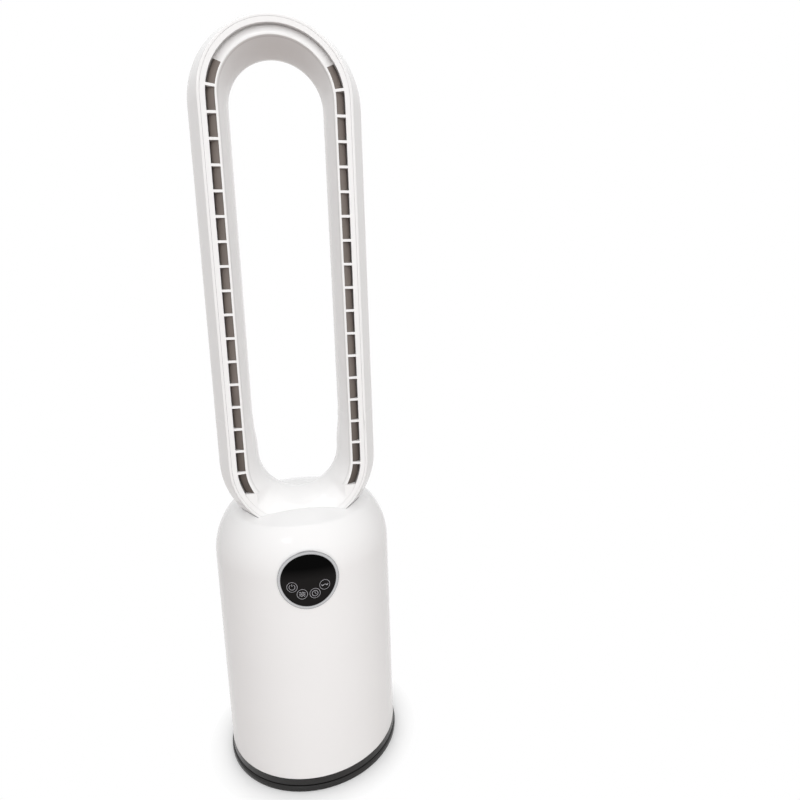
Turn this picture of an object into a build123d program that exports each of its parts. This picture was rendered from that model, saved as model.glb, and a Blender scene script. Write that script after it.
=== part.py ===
"""Bladeless tower fan: a round foot, a body that swings on it, and a tall hollow loop.

Millimetres, +Z up. The origin is on the floor at the middle of the foot, and the
fan blows towards -Y. The body draws air in through slots at its lower rear, a
mixed-flow impeller lifts it through a diffuser and an outlet duct, and the loop
lets it out through a ribbed slot along the front of both limbs.
"""
from build123d import *
import math
import os

os.makedirs("parts", exist_ok=True)

# ---- Body shells ----
body_radius = 110.0
body_wall = 2.5
shell_base_z = 17.2
shoulder_z = 280.0          # where the straight wall starts to turn in
shoulder_radius = 84.0      # arc of the shoulder
cap_rise = 72.0             # highest point of the shallow cap, above the shoulder
cap_radius = 236.0          # arc of the cap
crest_round = 10.0          # rounding between shoulder and cap
seam_y = -23.0              # the front and rear shells meet in this plane
seam_gap = 0.4
tongue_wall = 1.6
tongue_reach = 4.0
tongue_root = 0.5           # bite of the tongue into the shell

# ---- Clearances ----
seat_gap = 0.2              # between pieces that sit on one another
running_gap = 0.06          # shaft in bore, on radius
neck_gap = 0.4              # loop in the hole of the cap
blade_gap = 1.0             # impeller blade to housing

# ---- Loop ----
loop_front_y = -60.0
loop_rise = 47.4            # centre of the lower bend, above the cap
loop_straight = 399.2       # height of the straight limbs
lip_radius = 60.3           # inner edge of the front face, from the bend centre
slot_inner_radius = 62.4
slot_outer_radius = 71.8
frame_edge_radius = 77.3
rim_radius = 80.3           # outer edge of the front face
flare_angle = 23.0          # outer wall, away from straight back
flare_depth = 26.4
widest_round = 40.0
throat_radius = 51.8        # inner wall at its narrowest
loop_wall = 2.2
rim_round = 1.6
lip_round = 0.8
frame_plate = 3.0
frame_wall = 2.0
slot_depth = 7.8            # recess at the outer side of the slot
slot_floor = 1.2            # recess at the inner side of the slot
recess_bulge = 1.6
ledge_width = 2.6
ledge_thickness = 2.0
edge_gap = 0.25             # groove between the frame's edge and the shell

# ---- Saddle: the smooth closed foot of the loop's opening ----
saddle_radius = 48.0        # bend of the opening where it is narrowest
saddle_rise = 7.8           # lowest point of that bend, above the cap
saddle_front_rise = 0.5     # lowest point of the front edge, above the cap
saddle_taper = 47.2         # height in which the opening widens to the limbs
saddle_face = 8.0           # solid depth behind the saddle's front face
saddle_lip_start = 31.0     # degrees below level where the front edge leaves the lip
saddle_lip_end = 44.0       # degrees below level where it has reached the frame's band
saddle_land = 1.2           # front face left between the saddle and that band
saddle_blend = 6.0          # rounding where the front edge turns along the cap
saddle_steps = 30           # sections round the lower bend

# ---- Air vents along the slot ----
vents_per_side = 18
vent_pitch = 25.885
vent_rise = 2.6             # middle of the row above the middle of the limbs
vent_end_drop = 31.0        # level lower end of the row, below the centre of the bend
rib_thickness = 2.8
guide_thickness = 1.4
guide_slit = 1.8            # open air slit beside the guide
level_spare = 6.0           # degrees of bend past the lowest vent, which the level cut takes off
blank_thickness = 2.0

# ---- Neck: spigot of the loop, gasket and duct flange ----
neck_width = 84.0
neck_depth = 50.0
neck_y = -29.0
neck_corner = 14.0
neck_flange = 7.0
neck_flange_corner = 6.0
neck_screw_inset = 4.5
flange_thickness = 2.5
gasket_thickness = 1.6
duct_top_drop = 61.0        # top of the outlet duct, below the cap
spigot_top_drop = 26.0      # top of the spigot's walls, below the cap

# ---- Blower ----
deck_z = 138.0
deck_thickness = 3.0
deck_gap = 0.4
isolator_height = 3.0
isolator_radius = 6.0
isolator_inset = 8.0        # middle of an isolator from the flange's edge
isolator_count = 4
housing_wall = 2.2
housing_gap = 15.5          # between the housing's flange and the shell
flange_reach = 20.0         # housing's flange beyond its bore
rim_step = 6.5              # impeller's rim inside the bore above it
eye_step = 15.5             # impeller's eye inside its rim
impeller_height = 40.0
impeller_lift = 1.5         # impeller above the bottom of its housing
hub_low_radius = 16.0
hub_high_radius = 43.0
impeller_blades = 9
blade_thickness = 2.0
blade_turn = 44.0           # degrees from bottom to top
bell_drop = 14.0
bell_lip = 14.0
bell_wall = 2.0
bell_flange = 6.0
diffuser_gap = 2.0
diffuser_height = 54.0
diffuser_vanes = 7
vane_thickness = 1.8
vane_turn = 30.0
pod_radius = 43.5
pod_wall = 2.2
pod_cap_height = 20.0
pod_plug_height = 4.0
duct_wall = 2.0
duct_flange = 9.0

# ---- Motor ----
shaft_radius = 4.0
bearing_radius = 9.0
bearing_width = 6.0
can_radius = 33.0
can_wall = 1.5
can_height = 36.0
stator_height = 22.0
stator_ring = 5.0
stator_bore = 17.0
stator_poles = 6
pole_width = 7.0
rotor_radius = 16.2

# ---- Foot ----
foot_step = 1.5             # lower tier beyond the upper one
foot_bottom_z = 1.2
foot_plate = 2.8
foot_rim_z = 7.3
foot_wall = 3.4
foot_round = 2.5
pad_radius = 8.0
pad_height = 2.0
pad_inset = 15.9            # middle of a pad from the foot's edge
pad_count = 5
baffle_gap = 4.5            # between the skirt and the baffle
baffle_wall = 1.8
baffle_height = 8.0
foot_screw_bite = 2.0
post_radius = 12.0
ballast_inner_radius = 50.0
ballast_gap = 2.2           # between the baffle and the ballast ring
ballast_thickness = 2.4
thrust_inset = 12.9         # bearing ring inside the turntable's skirt
thrust_width = 11.0

# ---- Turntable ----
tier_gap = 1.0              # groove between the two tiers
tier_proud = 0.4            # upper tier beyond the body
tier_wall = 2.5
floor_z = 14.0              # underside of the floor
floor_hole_gap = 2.0        # round the pinion's shaft
floor_thickness = 2.8
hub_wall = 5.0
hub_height = 16.0
upstand_height = 7.0
upstand_wall = 2.3
pivot_washer_radius = 18.0
pivot_washer_thickness = 2.0
pivot_screw_radius = 2.5
pivot_screw_head = 3.0
pivot_screw_length = 14.0

# ---- Swing gears ----
gear_module = 1.5
ring_teeth = 40
pinion_teeth = 10
pressure_angle = 25.0
gear_backlash = 0.3
tooth_addendum = 1.25
tooth_dedendum = 1.75
ring_gear_height = 7.0
ring_gear_bore = 19.0
pinion_height = 5.6
pinion_shaft_radius = 3.0
swing_motor_radius = 16.0
swing_motor_height = 16.0
swing_ear_span = 50.0
swing_ear_width = 10.0

# ---- Columns ----
column_gap = 3.0            # between a column and the bellmouth
column_radius = 5.0
column_count = 4

# ---- Intake ----
intake_half_angle = 54.0
intake_low_z = 44.0
intake_high_z = 130.0
cover_gap = 0.35
cover_wall = 2.4
slot_rows = 9
slot_row_pitch = 8.6
slot_height = 4.2
slot_columns = 4
slot_column_angle = 22.0
slot_mullion_angle = 4.0
filter_thickness = 5.0
filter_half_angle = 50.0
filter_ledge = 3.0

# ---- Display ----
display_drop = 2.8          # middle of the display below the shoulder
display_radius = 35.0
glass_radius = 31.6
bezel_proud = 1.2
bezel_depth = 11.0
bezel_wall = 1.2
glass_proud = 0.6
glass_thickness = 3.0
glass_gap = 0.15
key_board_thickness = 1.6
trim_margin = 10.0          # past the display, on what is trimmed to it

# ---- Main board ----
board_width = 80.0
board_height = 70.0
board_low_z = 26.0
board_gap = 4.5             # between the tallest component and the front shell
board_thickness = 1.6
bracket_thickness = 2.0
standoff_length = 5.0
standoff_radius = 3.0
standoff_inset = 5.0
transformer_height = 14.0
capacitor_height = 16.0
component_reach = 29.0      # furthest component from the middle of the board

# ---- Power inlet ----
inlet_width = 20.0
inlet_height = 10.0
inlet_rise = 1.0            # above the turntable's upstand
inlet_depth = 20.0
inlet_wall = 1.5
inlet_pin_radius = 1.2
inlet_pin_pitch = 8.6

# ---- Small screws ----
screw_radius = 1.5
screw_head_radius = 3.0
screw_head = 2.2
screw_length = 9.0
screw_gap = 0.3
lug_width = 9.0
lug_height = 8.0
lug_depth = 10.0

# ---- Derived radii ----
inner_radius = body_radius - body_wall
tier_radius = body_radius + tier_proud
foot_radius = tier_radius + foot_step
pad_circle = foot_radius - pad_inset
baffle_radius = foot_radius - foot_wall - baffle_gap
ballast_outer_radius = baffle_radius - baffle_wall - ballast_gap
thrust_outer_radius = tier_radius - tier_wall - thrust_inset
thrust_inner_radius = thrust_outer_radius - thrust_width
housing_flange_radius = inner_radius - housing_gap
isolator_circle = housing_flange_radius - isolator_inset
housing_bore = housing_flange_radius - flange_reach
impeller_rim_radius = housing_bore - rim_step
eye_radius = impeller_rim_radius - eye_step
bell_flange_radius = eye_radius + bell_lip + bell_wall + bell_flange
column_circle = bell_flange_radius + column_gap + column_radius

# ---- Derived heights ----
cap_top_z = shoulder_z + cap_rise
display_z = shoulder_z - display_drop
duct_top_z = cap_top_z - duct_top_drop
spigot_top_z = cap_top_z - spigot_top_drop
loop_low_z = cap_top_z + loop_rise
loop_high_z = loop_low_z + loop_straight
loop_mid_z = loop_low_z + loop_straight / 2
vent_end_z = loop_low_z - vent_end_drop
saddle_z = cap_top_z + saddle_rise + saddle_radius
saddle_high_z = saddle_z + saddle_taper
saddle_front_z = cap_top_z - cap_radius + math.sqrt(cap_radius**2 - loop_front_y**2) + saddle_front_rise
vent_radius = (slot_inner_radius + slot_outer_radius) / 2
vent_row = vents_per_side * vent_pitch
top_turn = math.degrees((vent_row / 2 + vent_rise - loop_straight / 2) / vent_radius)
low_turn = math.degrees((vent_row / 2 - vent_rise - loop_straight / 2) / vent_radius)
deck_top_z = deck_z + deck_thickness
blower_base_z = deck_top_z + isolator_height
impeller_low_z = blower_base_z + impeller_lift
impeller_high_z = impeller_low_z + impeller_height
diffuser_low_z = impeller_high_z + diffuser_gap
diffuser_high_z = diffuser_low_z + diffuser_height
housing_top_z = diffuser_high_z + 3.0
spigot_base_z = duct_top_z + gasket_thickness
foot_plate_z = foot_bottom_z + foot_plate
ballast_top_z = foot_plate_z + ballast_thickness
floor_top_z = floor_z + floor_thickness
hub_base_z = foot_plate_z + 1.5
hub_top_z = hub_base_z + hub_height
post_top_z = hub_top_z + seat_gap + 0.1
gear_distance = gear_module * (ring_teeth + pinion_teeth) / 2
inlet_z = shell_base_z + upstand_height + inlet_rise + inlet_wall + inlet_height / 2

# ---- Derived places on the limbs' section ----
flare = math.radians(flare_angle)
flare_end = (rim_radius + flare_depth * math.tan(flare), loop_front_y + flare_depth)
widest_centre = (flare_end[0] - widest_round * math.cos(flare),
                 flare_end[1] + widest_round * math.sin(flare))
throat_y = widest_centre[1]


# ---- Shared forms ----
def on_circle(centre, radius, angle):
    """Point of a circle at an angle in degrees."""
    turn = math.radians(angle)
    return (centre[0] + radius * math.cos(turn), centre[1] + radius * math.sin(turn))


def circle_crossing(centre_a, radius_a, centre_b, radius_b):
    """Crossing of two circles that lies further from the axis."""
    dx, dy = centre_b[0] - centre_a[0], centre_b[1] - centre_a[1]
    apart = math.hypot(dx, dy)
    along = (radius_a**2 - radius_b**2 + apart**2) / (2 * apart)
    across = math.sqrt(radius_a**2 - along**2)
    foot = (centre_a[0] + along * dx / apart, centre_a[1] + along * dy / apart)
    sides = [(foot[0] + s * across * dy / apart, foot[1] - s * across * dx / apart) for s in (1, -1)]
    return max(sides)


def angle_of(centre, point):
    """Angle in degrees of a point seen from a centre."""
    return math.degrees(math.atan2(point[1] - centre[1], point[0] - centre[0]))


def body_half_section(inset, base_z):
    """Half section of the body's form, moved inwards by inset and closed at the axis."""
    shoulder_centre = (body_radius - shoulder_radius, shoulder_z)
    cap_centre = (0, cap_top_z - cap_radius)
    crest = circle_crossing(shoulder_centre, shoulder_radius - inset, cap_centre, cap_radius - inset)
    shoulder_end = angle_of(shoulder_centre, crest)
    cap_start = angle_of(cap_centre, crest)
    with BuildSketch(Plane.XZ) as section:
        with BuildLine():
            Polyline((0, cap_top_z - inset), (0, base_z), (body_radius - inset, base_z),
                     (body_radius - inset, shoulder_z))
            CenterArc(shoulder_centre, shoulder_radius - inset, 0, shoulder_end)
            CenterArc(cap_centre, cap_radius - inset, cap_start, 90 - cap_start)
        make_face()
        fillet(section.vertices().sort_by_distance((crest[0], crest[1], 0))[0], crest_round - inset)
    return section.sketch


def wall_section(small_radius, large_radius, low_z, high_z):
    """Rectangle between two radii and two heights, to be revolved."""
    with BuildSketch(Plane.XZ) as section:
        with BuildLine():
            Polyline((small_radius, low_z), (large_radius, low_z), (large_radius, high_z),
                     (small_radius, high_z), close=True)
        make_face()
    return section.sketch


def limb_outline(rounded, inset=0, throat=throat_radius, lip=lip_radius):
    """Teardrop section of a limb: x is the radius from the bend centre, y is the depth."""
    rim_x = rim_radius + inset * math.tan(flare) - inset / math.cos(flare)
    face_y = loop_front_y + inset
    flare_x, flare_y = flare_end[0] - inset * math.cos(flare), flare_end[1] + inset * math.sin(flare)
    rear_radius = (widest_centre[0] + widest_round - throat) / 2
    depth = throat_y - loop_front_y
    wall_radius = ((lip - throat) ** 2 + depth**2) / (2 * (lip - throat))
    lip_x = throat + wall_radius - math.sqrt((wall_radius - inset) ** 2 - (depth - inset) ** 2)
    with BuildSketch() as section:
        with BuildLine():
            Polyline((lip_x, face_y), (rim_x, face_y), (flare_x, flare_y))
            CenterArc(widest_centre, widest_round - inset, -flare_angle, flare_angle)
            CenterArc((throat + rear_radius, throat_y), rear_radius - inset, 0, 180)
            TangentArc((throat + inset, throat_y), (lip_x, face_y), tangent=(0, -1))
        make_face()
        if rounded:
            fillet(section.vertices().sort_by_distance((rim_x, face_y, 0))[0], rim_round)
            fillet(section.vertices().sort_by_distance((lip_x, face_y, 0))[0], lip_round)
    return section.sketch


def limbs_and_top(section):
    """Carry a section of the right limb up both limbs, above the saddle, and round the top."""
    with BuildPart() as ring:
        with BuildSketch(Plane.XY.offset(saddle_high_z)):
            add(section)
        extrude(amount=loop_high_z - saddle_high_z)
        mirror(about=Plane.YZ)
        with BuildSketch(Plane.XY.offset(loop_high_z)):
            add(section)
        revolve(axis=Axis((0, 0, loop_high_z), (0, -1, 0)), revolution_arc=180)
    return ring.part


def lower_bend(section):
    """Carry a section of the right limb round the bottom, up to the top of the saddle."""
    with BuildPart() as ring:
        with BuildSketch(Plane.XY.offset(loop_low_z)):
            add(section)
        extrude(amount=saddle_high_z - loop_low_z)
        mirror(about=Plane.YZ)
        with BuildSketch(Plane.XY.offset(loop_low_z)):
            add(section)
        revolve(axis=Axis((0, 0, loop_low_z), (0, 1, 0)), revolution_arc=180)
    return ring.part


def saddle_throat(angle):
    """Radius of the opening's narrowest line, at an angle below level."""
    lift = (saddle_z - loop_low_z) * math.sin(math.radians(angle))
    return math.sqrt(saddle_radius**2 - (saddle_z - loop_low_z) ** 2 + lift**2) - lift


def saddle_lip(angle):
    """Radius of the opening's front edge: first the lip, then the frame's band, then the cap."""
    share = (angle - saddle_lip_start) / (saddle_lip_end - saddle_lip_start)
    share = min(max(share, 0), 1)
    lip = lip_radius + (slot_outer_radius - saddle_land - lip_radius) * share**2 * (3 - 2 * share)
    if share < 1:
        return lip
    drop = (loop_low_z - cap_top_z + cap_radius) * math.sin(math.radians(angle))
    cap_line = drop - math.sqrt(drop**2 - (loop_low_z - cap_top_z + cap_radius) ** 2
                                + (saddle_front_z - cap_top_z + cap_radius) ** 2)
    blend = max(saddle_blend - abs(lip - cap_line), 0) / saddle_blend
    return min(lip, cap_line) - blend**2 * saddle_blend / 4


def saddle_stations(lip_of):
    """Sections of the loop's foot, from limb to limb: plane, throat radius and lip radius."""
    limb = []
    for share in (0.0, 0.25, 0.5, 0.75, 1.0):
        narrowed = (throat_radius - saddle_radius) * share**2 * (3 - 2 * share)
        limb.append((saddle_high_z - share * saddle_taper, throat_radius - narrowed, lip_radius))
    bend = []
    for step in range(saddle_steps + 1):
        turn = 180.0 * step / saddle_steps
        angle = min(turn, 180.0 - turn)
        bend.append((bend_plane(loop_low_z, -turn), saddle_throat(angle), lip_of(angle)))
    right = [(bend_plane(height, 0), throat, lip) for height, throat, lip in limb]
    left = [(bend_plane(height, -180), throat, lip) for height, throat, lip in reversed(limb)]
    return right + bend + left


def saddle_form(rounded, inset=0, lip_of=saddle_lip):
    """Filled foot of the loop, from limb to limb, moved inwards by inset."""
    with BuildPart() as form:
        for plane, throat, lip in saddle_stations(lip_of):
            with BuildSketch(plane):
                add(limb_outline(rounded, inset, throat, lip))
        loft()
    return form.part


def along_vents(section):
    """Carry a section of the right limb along the row of vents."""
    with BuildPart() as strip:
        with BuildSketch(Plane.XY.offset(loop_low_z)):
            add(section)
        extrude(amount=loop_straight)
        with BuildSketch(Plane.XY.offset(loop_high_z)):
            add(section)
        revolve(axis=Axis((0, 0, loop_high_z), (0, -1, 0)), revolution_arc=top_turn)
        with BuildSketch(Plane.XY.offset(loop_low_z)):
            add(section)
        revolve(axis=Axis((0, 0, loop_low_z), (0, 1, 0)), revolution_arc=low_turn + level_spare)
    return strip.part


def bend_plane(centre_z, angle):
    """Plane of a limb section after it has turned round a bend by an angle."""
    turn = math.radians(angle)
    return Plane(origin=(0, 0, centre_z), x_dir=(math.cos(turn), 0, math.sin(turn)),
                 z_dir=(-math.sin(turn), 0, math.cos(turn)))


def vent_plane(distance):
    """Plane across the right limb at a distance along the slot from its middle."""
    beyond = abs(distance) - loop_straight / 2
    if beyond <= 0:
        return Plane.XY.offset(loop_mid_z + distance)
    angle = math.degrees(beyond / vent_radius)
    if distance > 0:
        return bend_plane(loop_high_z, angle)
    return bend_plane(loop_low_z, -angle)


def radial_plane(radius, angle, height):
    """Plane that faces outwards from the body's axis."""
    aim = math.radians(angle)
    outward = (math.cos(aim), math.sin(aim), 0)
    return Plane(origin=(radius * outward[0], radius * outward[1], height), z_dir=outward)


def screw(shank_radius, head_radius, head_height, length):
    """Pan head screw: its head stands on z = 0 and its shank hangs below."""
    with BuildPart() as fastener:
        Cylinder(head_radius, head_height, align=(Align.CENTER, Align.CENTER, Align.MIN))
        fillet(fastener.faces().sort_by(Axis.Z)[-1].edges(), head_height * 0.4)
        Cylinder(shank_radius, length, align=(Align.CENTER, Align.CENTER, Align.MAX))
    return fastener.part


def gear_face(teeth):
    """Gear outline with involute flanks, each an arc through three points of the involute."""
    pitch_radius = gear_module * teeth / 2
    base_radius = pitch_radius * math.cos(math.radians(pressure_angle))
    root_radius = pitch_radius - tooth_dedendum
    tip_radius = pitch_radius + tooth_addendum
    flank_start = max(base_radius, root_radius)

    def involute(radius):
        roll = math.sqrt(max((radius / base_radius) ** 2 - 1, 0))
        return roll - math.atan(roll)

    half_tooth = math.pi / (2 * teeth) - gear_backlash / (4 * pitch_radius) + involute(pitch_radius)

    def flank(radius, side):
        angle = side * (half_tooth - involute(radius))
        return (radius * math.cos(angle), radius * math.sin(angle))

    root_angle = half_tooth - involute(flank_start)
    root_start = root_radius * 0.97
    with BuildSketch() as outline:
        Circle(root_radius)
        with BuildSketch(mode=Mode.PRIVATE) as tooth:
            with BuildLine():
                ends = []
                for side in (1, -1):
                    foot = (root_start * math.cos(root_angle), side * root_start * math.sin(root_angle))
                    ends.append((foot, flank(tip_radius, side)))
                    Line(foot, flank(flank_start, side))
                    ThreePointArc(flank(flank_start, side), flank(pitch_radius, side),
                                  flank(tip_radius, side))
                Line(ends[0][0], ends[1][0])
                Line(ends[0][1], ends[1][1])
            make_face()
        with PolarLocations(0, teeth):
            add(tooth.sketch)
    return outline.sketch


def twisted_blade(stations, root_radius, tip_radius, thickness, envelope):
    """Radial plate that turns about Z as it rises, trimmed to a revolved envelope."""
    with BuildPart() as blade:
        for height, turn in stations:
            with BuildSketch(Plane.XY.offset(height)):
                with PolarLocations((root_radius + tip_radius) / 2, 1, start_angle=turn):
                    Rectangle(tip_radius - root_radius, thickness)
        loft()
        revolve(profiles=envelope, axis=Axis.Z, mode=Mode.INTERSECT)
    return blade.part


def neck_rectangle(grow):
    """Rounded rectangle of the neck, wider all round by grow."""
    with BuildSketch() as outline:
        with Locations((0, neck_y)):
            RectangleRounded(neck_width + 2 * grow, neck_depth + 2 * grow, neck_corner + grow)
    return outline.sketch


def neck_flange_face():
    """Flange of the neck: a rectangle round the bore, with a screw hole in each corner."""
    with BuildSketch() as outline:
        with Locations((0, neck_y)):
            RectangleRounded(neck_width + 2 * neck_flange, neck_depth + 2 * neck_flange,
                             neck_flange_corner)
            with neck_screw_grid():
                Circle(screw_radius + screw_gap, mode=Mode.SUBTRACT)
        add(neck_rectangle(0), mode=Mode.SUBTRACT)
    return outline.sketch


def neck_screw_grid():
    """Places of the four screws in the neck's flange."""
    return GridLocations(neck_width + 2 * (neck_flange - neck_screw_inset),
                         neck_depth + 2 * (neck_flange - neck_screw_inset), 2, 2)


# ==== Foot ====

ballast_screw_circle = (ballast_inner_radius + thrust_inner_radius) / 2
gear_screw_circle = (ring_gear_bore + gear_module * ring_teeth / 2 - tooth_dedendum) / 2

# Lower tier of the foot: plate, outer skirt, inner baffle and pivot post.
with BuildPart() as foot_shell:
    with BuildSketch(Plane.XZ) as foot_section:
        with BuildLine():
            Polyline((0, foot_bottom_z), (foot_radius, foot_bottom_z), (foot_radius, foot_rim_z),
                     (foot_radius - foot_wall, foot_rim_z), (foot_radius - foot_wall, foot_plate_z),
                     (0, foot_plate_z), close=True)
        make_face()
        rim_corner = foot_section.vertices().sort_by_distance((foot_radius, foot_rim_z, 0))[0]
        fillet(rim_corner, foot_round)
    revolve(axis=Axis.Z)
    revolve(profiles=wall_section(baffle_radius - baffle_wall, baffle_radius, foot_plate_z - 0.5,
                                  foot_plate_z + baffle_height), axis=Axis.Z)
    revolve(profiles=wall_section(0, post_radius, foot_plate_z - 0.5, post_top_z), axis=Axis.Z)
    with Locations((0, 0, post_top_z)):
        Hole(pivot_screw_radius, depth=post_top_z - foot_plate_z)
    with Locations(Plane.XY.offset(foot_plate_z)):
        with PolarLocations(ballast_screw_circle, 3, start_angle=30):
            Hole(screw_radius, depth=foot_screw_bite)
        with PolarLocations(gear_screw_circle, 3, start_angle=30):
            Hole(screw_radius, depth=foot_screw_bite)
    with BuildSketch(Plane.XY.offset(foot_bottom_z)):
        with PolarLocations(pad_circle, pad_count, start_angle=90):
            Circle(pad_radius + 0.1)
    extrude(amount=pad_height - foot_bottom_z, mode=Mode.SUBTRACT)
foot_shell.part.label = "foot_shell"
export_step(foot_shell.part, "parts/foot_shell.step")

# Rubber pads that the fan stands on.
with BuildPart() as rubber_feet:
    with BuildSketch():
        with PolarLocations(pad_circle, pad_count, start_angle=90):
            Circle(pad_radius)
    extrude(amount=pad_height)
    chamfer(rubber_feet.faces().group_by(Axis.Z)[0].edges(), 0.5)
rubber_feet.part.label = "rubber_feet"
export_step(rubber_feet.part, "parts/rubber_feet.step")

# Steel ring that keeps the tall fan from tipping.
with BuildPart() as ballast_plate:
    with BuildSketch(Plane.XY.offset(foot_plate_z)):
        Circle(ballast_outer_radius)
        Circle(ballast_inner_radius, mode=Mode.SUBTRACT)
        with PolarLocations(ballast_screw_circle, 3, start_angle=30):
            Circle(screw_radius + screw_gap, mode=Mode.SUBTRACT)
    extrude(amount=ballast_thickness)
ballast_plate.part.label = "ballast_plate"
export_step(ballast_plate.part, "parts/ballast_plate.step")

# Screws that hold the ballast ring and the fixed gear to the foot.
with BuildPart() as foot_screws:
    with Locations(Plane.XY.offset(ballast_top_z)):
        with PolarLocations(ballast_screw_circle, 3, start_angle=30):
            add(screw(screw_radius - 0.05, screw_head_radius, screw_head,
                      ballast_thickness + foot_screw_bite - 0.1))
    with Locations(Plane.XY.offset(foot_plate_z + ring_gear_height)):
        with PolarLocations(gear_screw_circle, 3, start_angle=30):
            add(screw(screw_radius - 0.05, screw_head_radius, screw_head - 0.4,
                      ring_gear_height + foot_screw_bite - 0.1))
foot_screws.part.label = "foot_screws"
export_step(foot_screws.part, "parts/foot_screws.step")

# Low-friction ring that carries the turntable.
with BuildPart() as thrust_ring:
    revolve(profiles=wall_section(thrust_inner_radius, thrust_outer_radius, ballast_top_z,
                                  floor_z - seat_gap), axis=Axis.Z)
    fillet(thrust_ring.faces().sort_by(Axis.Z)[-1].edges(), 1.0)
thrust_ring.part.label = "thrust_ring"
export_step(thrust_ring.part, "parts/thrust_ring.step")

# Fixed gear round the pivot.
with BuildPart() as ring_gear:
    with BuildSketch(Plane.XY.offset(foot_plate_z)):
        add(gear_face(ring_teeth))
        Circle(ring_gear_bore, mode=Mode.SUBTRACT)
        with PolarLocations(gear_screw_circle, 3, start_angle=30):
            Circle(screw_radius + screw_gap, mode=Mode.SUBTRACT)
    extrude(amount=ring_gear_height)
ring_gear.part.label = "ring_gear"
export_step(ring_gear.part, "parts/ring_gear.step")

# Washer and screw on top of the post keep the turntable down.
with BuildPart() as pivot_washer:
    with BuildSketch(Plane.XY.offset(post_top_z)):
        Circle(pivot_washer_radius)
        Circle(pivot_screw_radius + screw_gap, mode=Mode.SUBTRACT)
    extrude(amount=pivot_washer_thickness)
    chamfer(pivot_washer.faces().sort_by(Axis.Z)[-1].edges().sort_by(SortBy.RADIUS)[-1], 0.5)
pivot_washer.part.label = "pivot_washer"
export_step(pivot_washer.part, "parts/pivot_washer.step")

with BuildPart() as pivot_screw:
    with Locations((0, 0, post_top_z + pivot_washer_thickness)):
        add(screw(pivot_screw_radius - 0.05, 2 * pivot_screw_radius, pivot_screw_head,
                  pivot_screw_length))
pivot_screw.part.label = "pivot_screw"
export_step(pivot_screw.part, "parts/pivot_screw.step")


# ==== Turntable, swing drive and columns ====

motor_spot = (0, gear_distance)

# Upper tier: floor, hub on the pivot post, skirt, and an upstand inside the shells.
with BuildPart() as turntable:
    revolve(profiles=wall_section(0, tier_radius - tier_wall + 0.5, floor_z, floor_top_z), axis=Axis.Z)
    revolve(profiles=wall_section(tier_radius - tier_wall, tier_radius, foot_rim_z + tier_gap,
                                  shell_base_z), axis=Axis.Z)
    revolve(profiles=wall_section(0, post_radius + running_gap + hub_wall, hub_base_z, hub_top_z),
            axis=Axis.Z)
    upstand_radius = inner_radius - 0.3
    revolve(profiles=wall_section(upstand_radius - upstand_wall, upstand_radius, floor_top_z - 0.5,
                                  shell_base_z + upstand_height), axis=Axis.Z)
    revolve(profiles=wall_section(0, post_radius + running_gap, hub_base_z - 1, hub_top_z + 1),
            axis=Axis.Z, mode=Mode.SUBTRACT)
    with BuildSketch(Plane.XY.offset(floor_z)):
        with Locations(motor_spot):
            Circle(pinion_shaft_radius + floor_hole_gap)
        with PolarLocations(column_circle, column_count, start_angle=45):
            Circle(screw_radius + screw_gap)
    extrude(amount=floor_thickness, mode=Mode.SUBTRACT)
    lower_edge = turntable.edges().filter_by(GeomType.CIRCLE).sort_by_distance(
        (tier_radius, 0, foot_rim_z + tier_gap))[0]
    chamfer(lower_edge, 0.6)
turntable.part.label = "turntable"
export_step(turntable.part, "parts/turntable.step")

# Gear motor that swings the body, with two ears.
with BuildPart() as swing_motor:
    with BuildSketch(Plane.XY.offset(floor_top_z)):
        with Locations(motor_spot):
            SlotOverall(swing_ear_span, swing_ear_width)
            Circle(pinion_shaft_radius + running_gap, mode=Mode.SUBTRACT)
            with GridLocations(swing_ear_span - swing_ear_width, 1, 2, 1):
                Circle(screw_radius + screw_gap, mode=Mode.SUBTRACT)
    extrude(amount=1.5)
    with BuildSketch(Plane.XY.offset(floor_top_z)):
        with Locations(motor_spot):
            Circle(swing_motor_radius)
            Circle(pinion_shaft_radius + running_gap, mode=Mode.SUBTRACT)
    extrude(amount=swing_motor_height)
    with BuildSketch(Plane.XY.offset(floor_top_z + swing_motor_height - 1.5)):
        with Locations(motor_spot):
            Circle(swing_motor_radius)
    extrude(amount=1.5)
    fillet(swing_motor.faces().sort_by(Axis.Z)[-1].edges(), 1.0)
swing_motor.part.label = "swing_motor"
export_step(swing_motor.part, "parts/swing_motor.step")

with BuildPart() as swing_motor_screws:
    with Locations((motor_spot[0], motor_spot[1], floor_top_z + 1.5)):
        with GridLocations(swing_ear_span - swing_ear_width, 1, 2, 1):
            add(screw(screw_radius, screw_head_radius, screw_head, 1.5))
swing_motor_screws.part.label = "swing_motor_screws"
export_step(swing_motor_screws.part, "parts/swing_motor_screws.step")

# Pinion under the floor. It starts with a gap on the line of centres, in mesh.
pinion_base_z = foot_plate_z + 0.8
mesh_turn = 180.0 / pinion_teeth if pinion_teeth % 2 == 0 else 0.0
with BuildPart() as swing_pinion:
    with BuildSketch(Plane(origin=(*motor_spot, pinion_base_z),
                           x_dir=(math.sin(math.radians(mesh_turn)), -math.cos(math.radians(mesh_turn)), 0),
                           z_dir=(0, 0, 1))):
        add(gear_face(pinion_teeth))
        Circle(pinion_shaft_radius, mode=Mode.SUBTRACT)
    extrude(amount=pinion_height)
swing_pinion.part.label = "swing_pinion"
export_step(swing_pinion.part, "parts/swing_pinion.step")

with BuildPart() as pinion_shaft:
    with BuildSketch(Plane.XY.offset(pinion_base_z)):
        with Locations(motor_spot):
            Circle(pinion_shaft_radius)
    extrude(amount=floor_top_z + swing_motor_height / 2 - pinion_base_z)
pinion_shaft.part.label = "pinion_shaft"
export_step(pinion_shaft.part, "parts/pinion_shaft.step")

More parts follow.
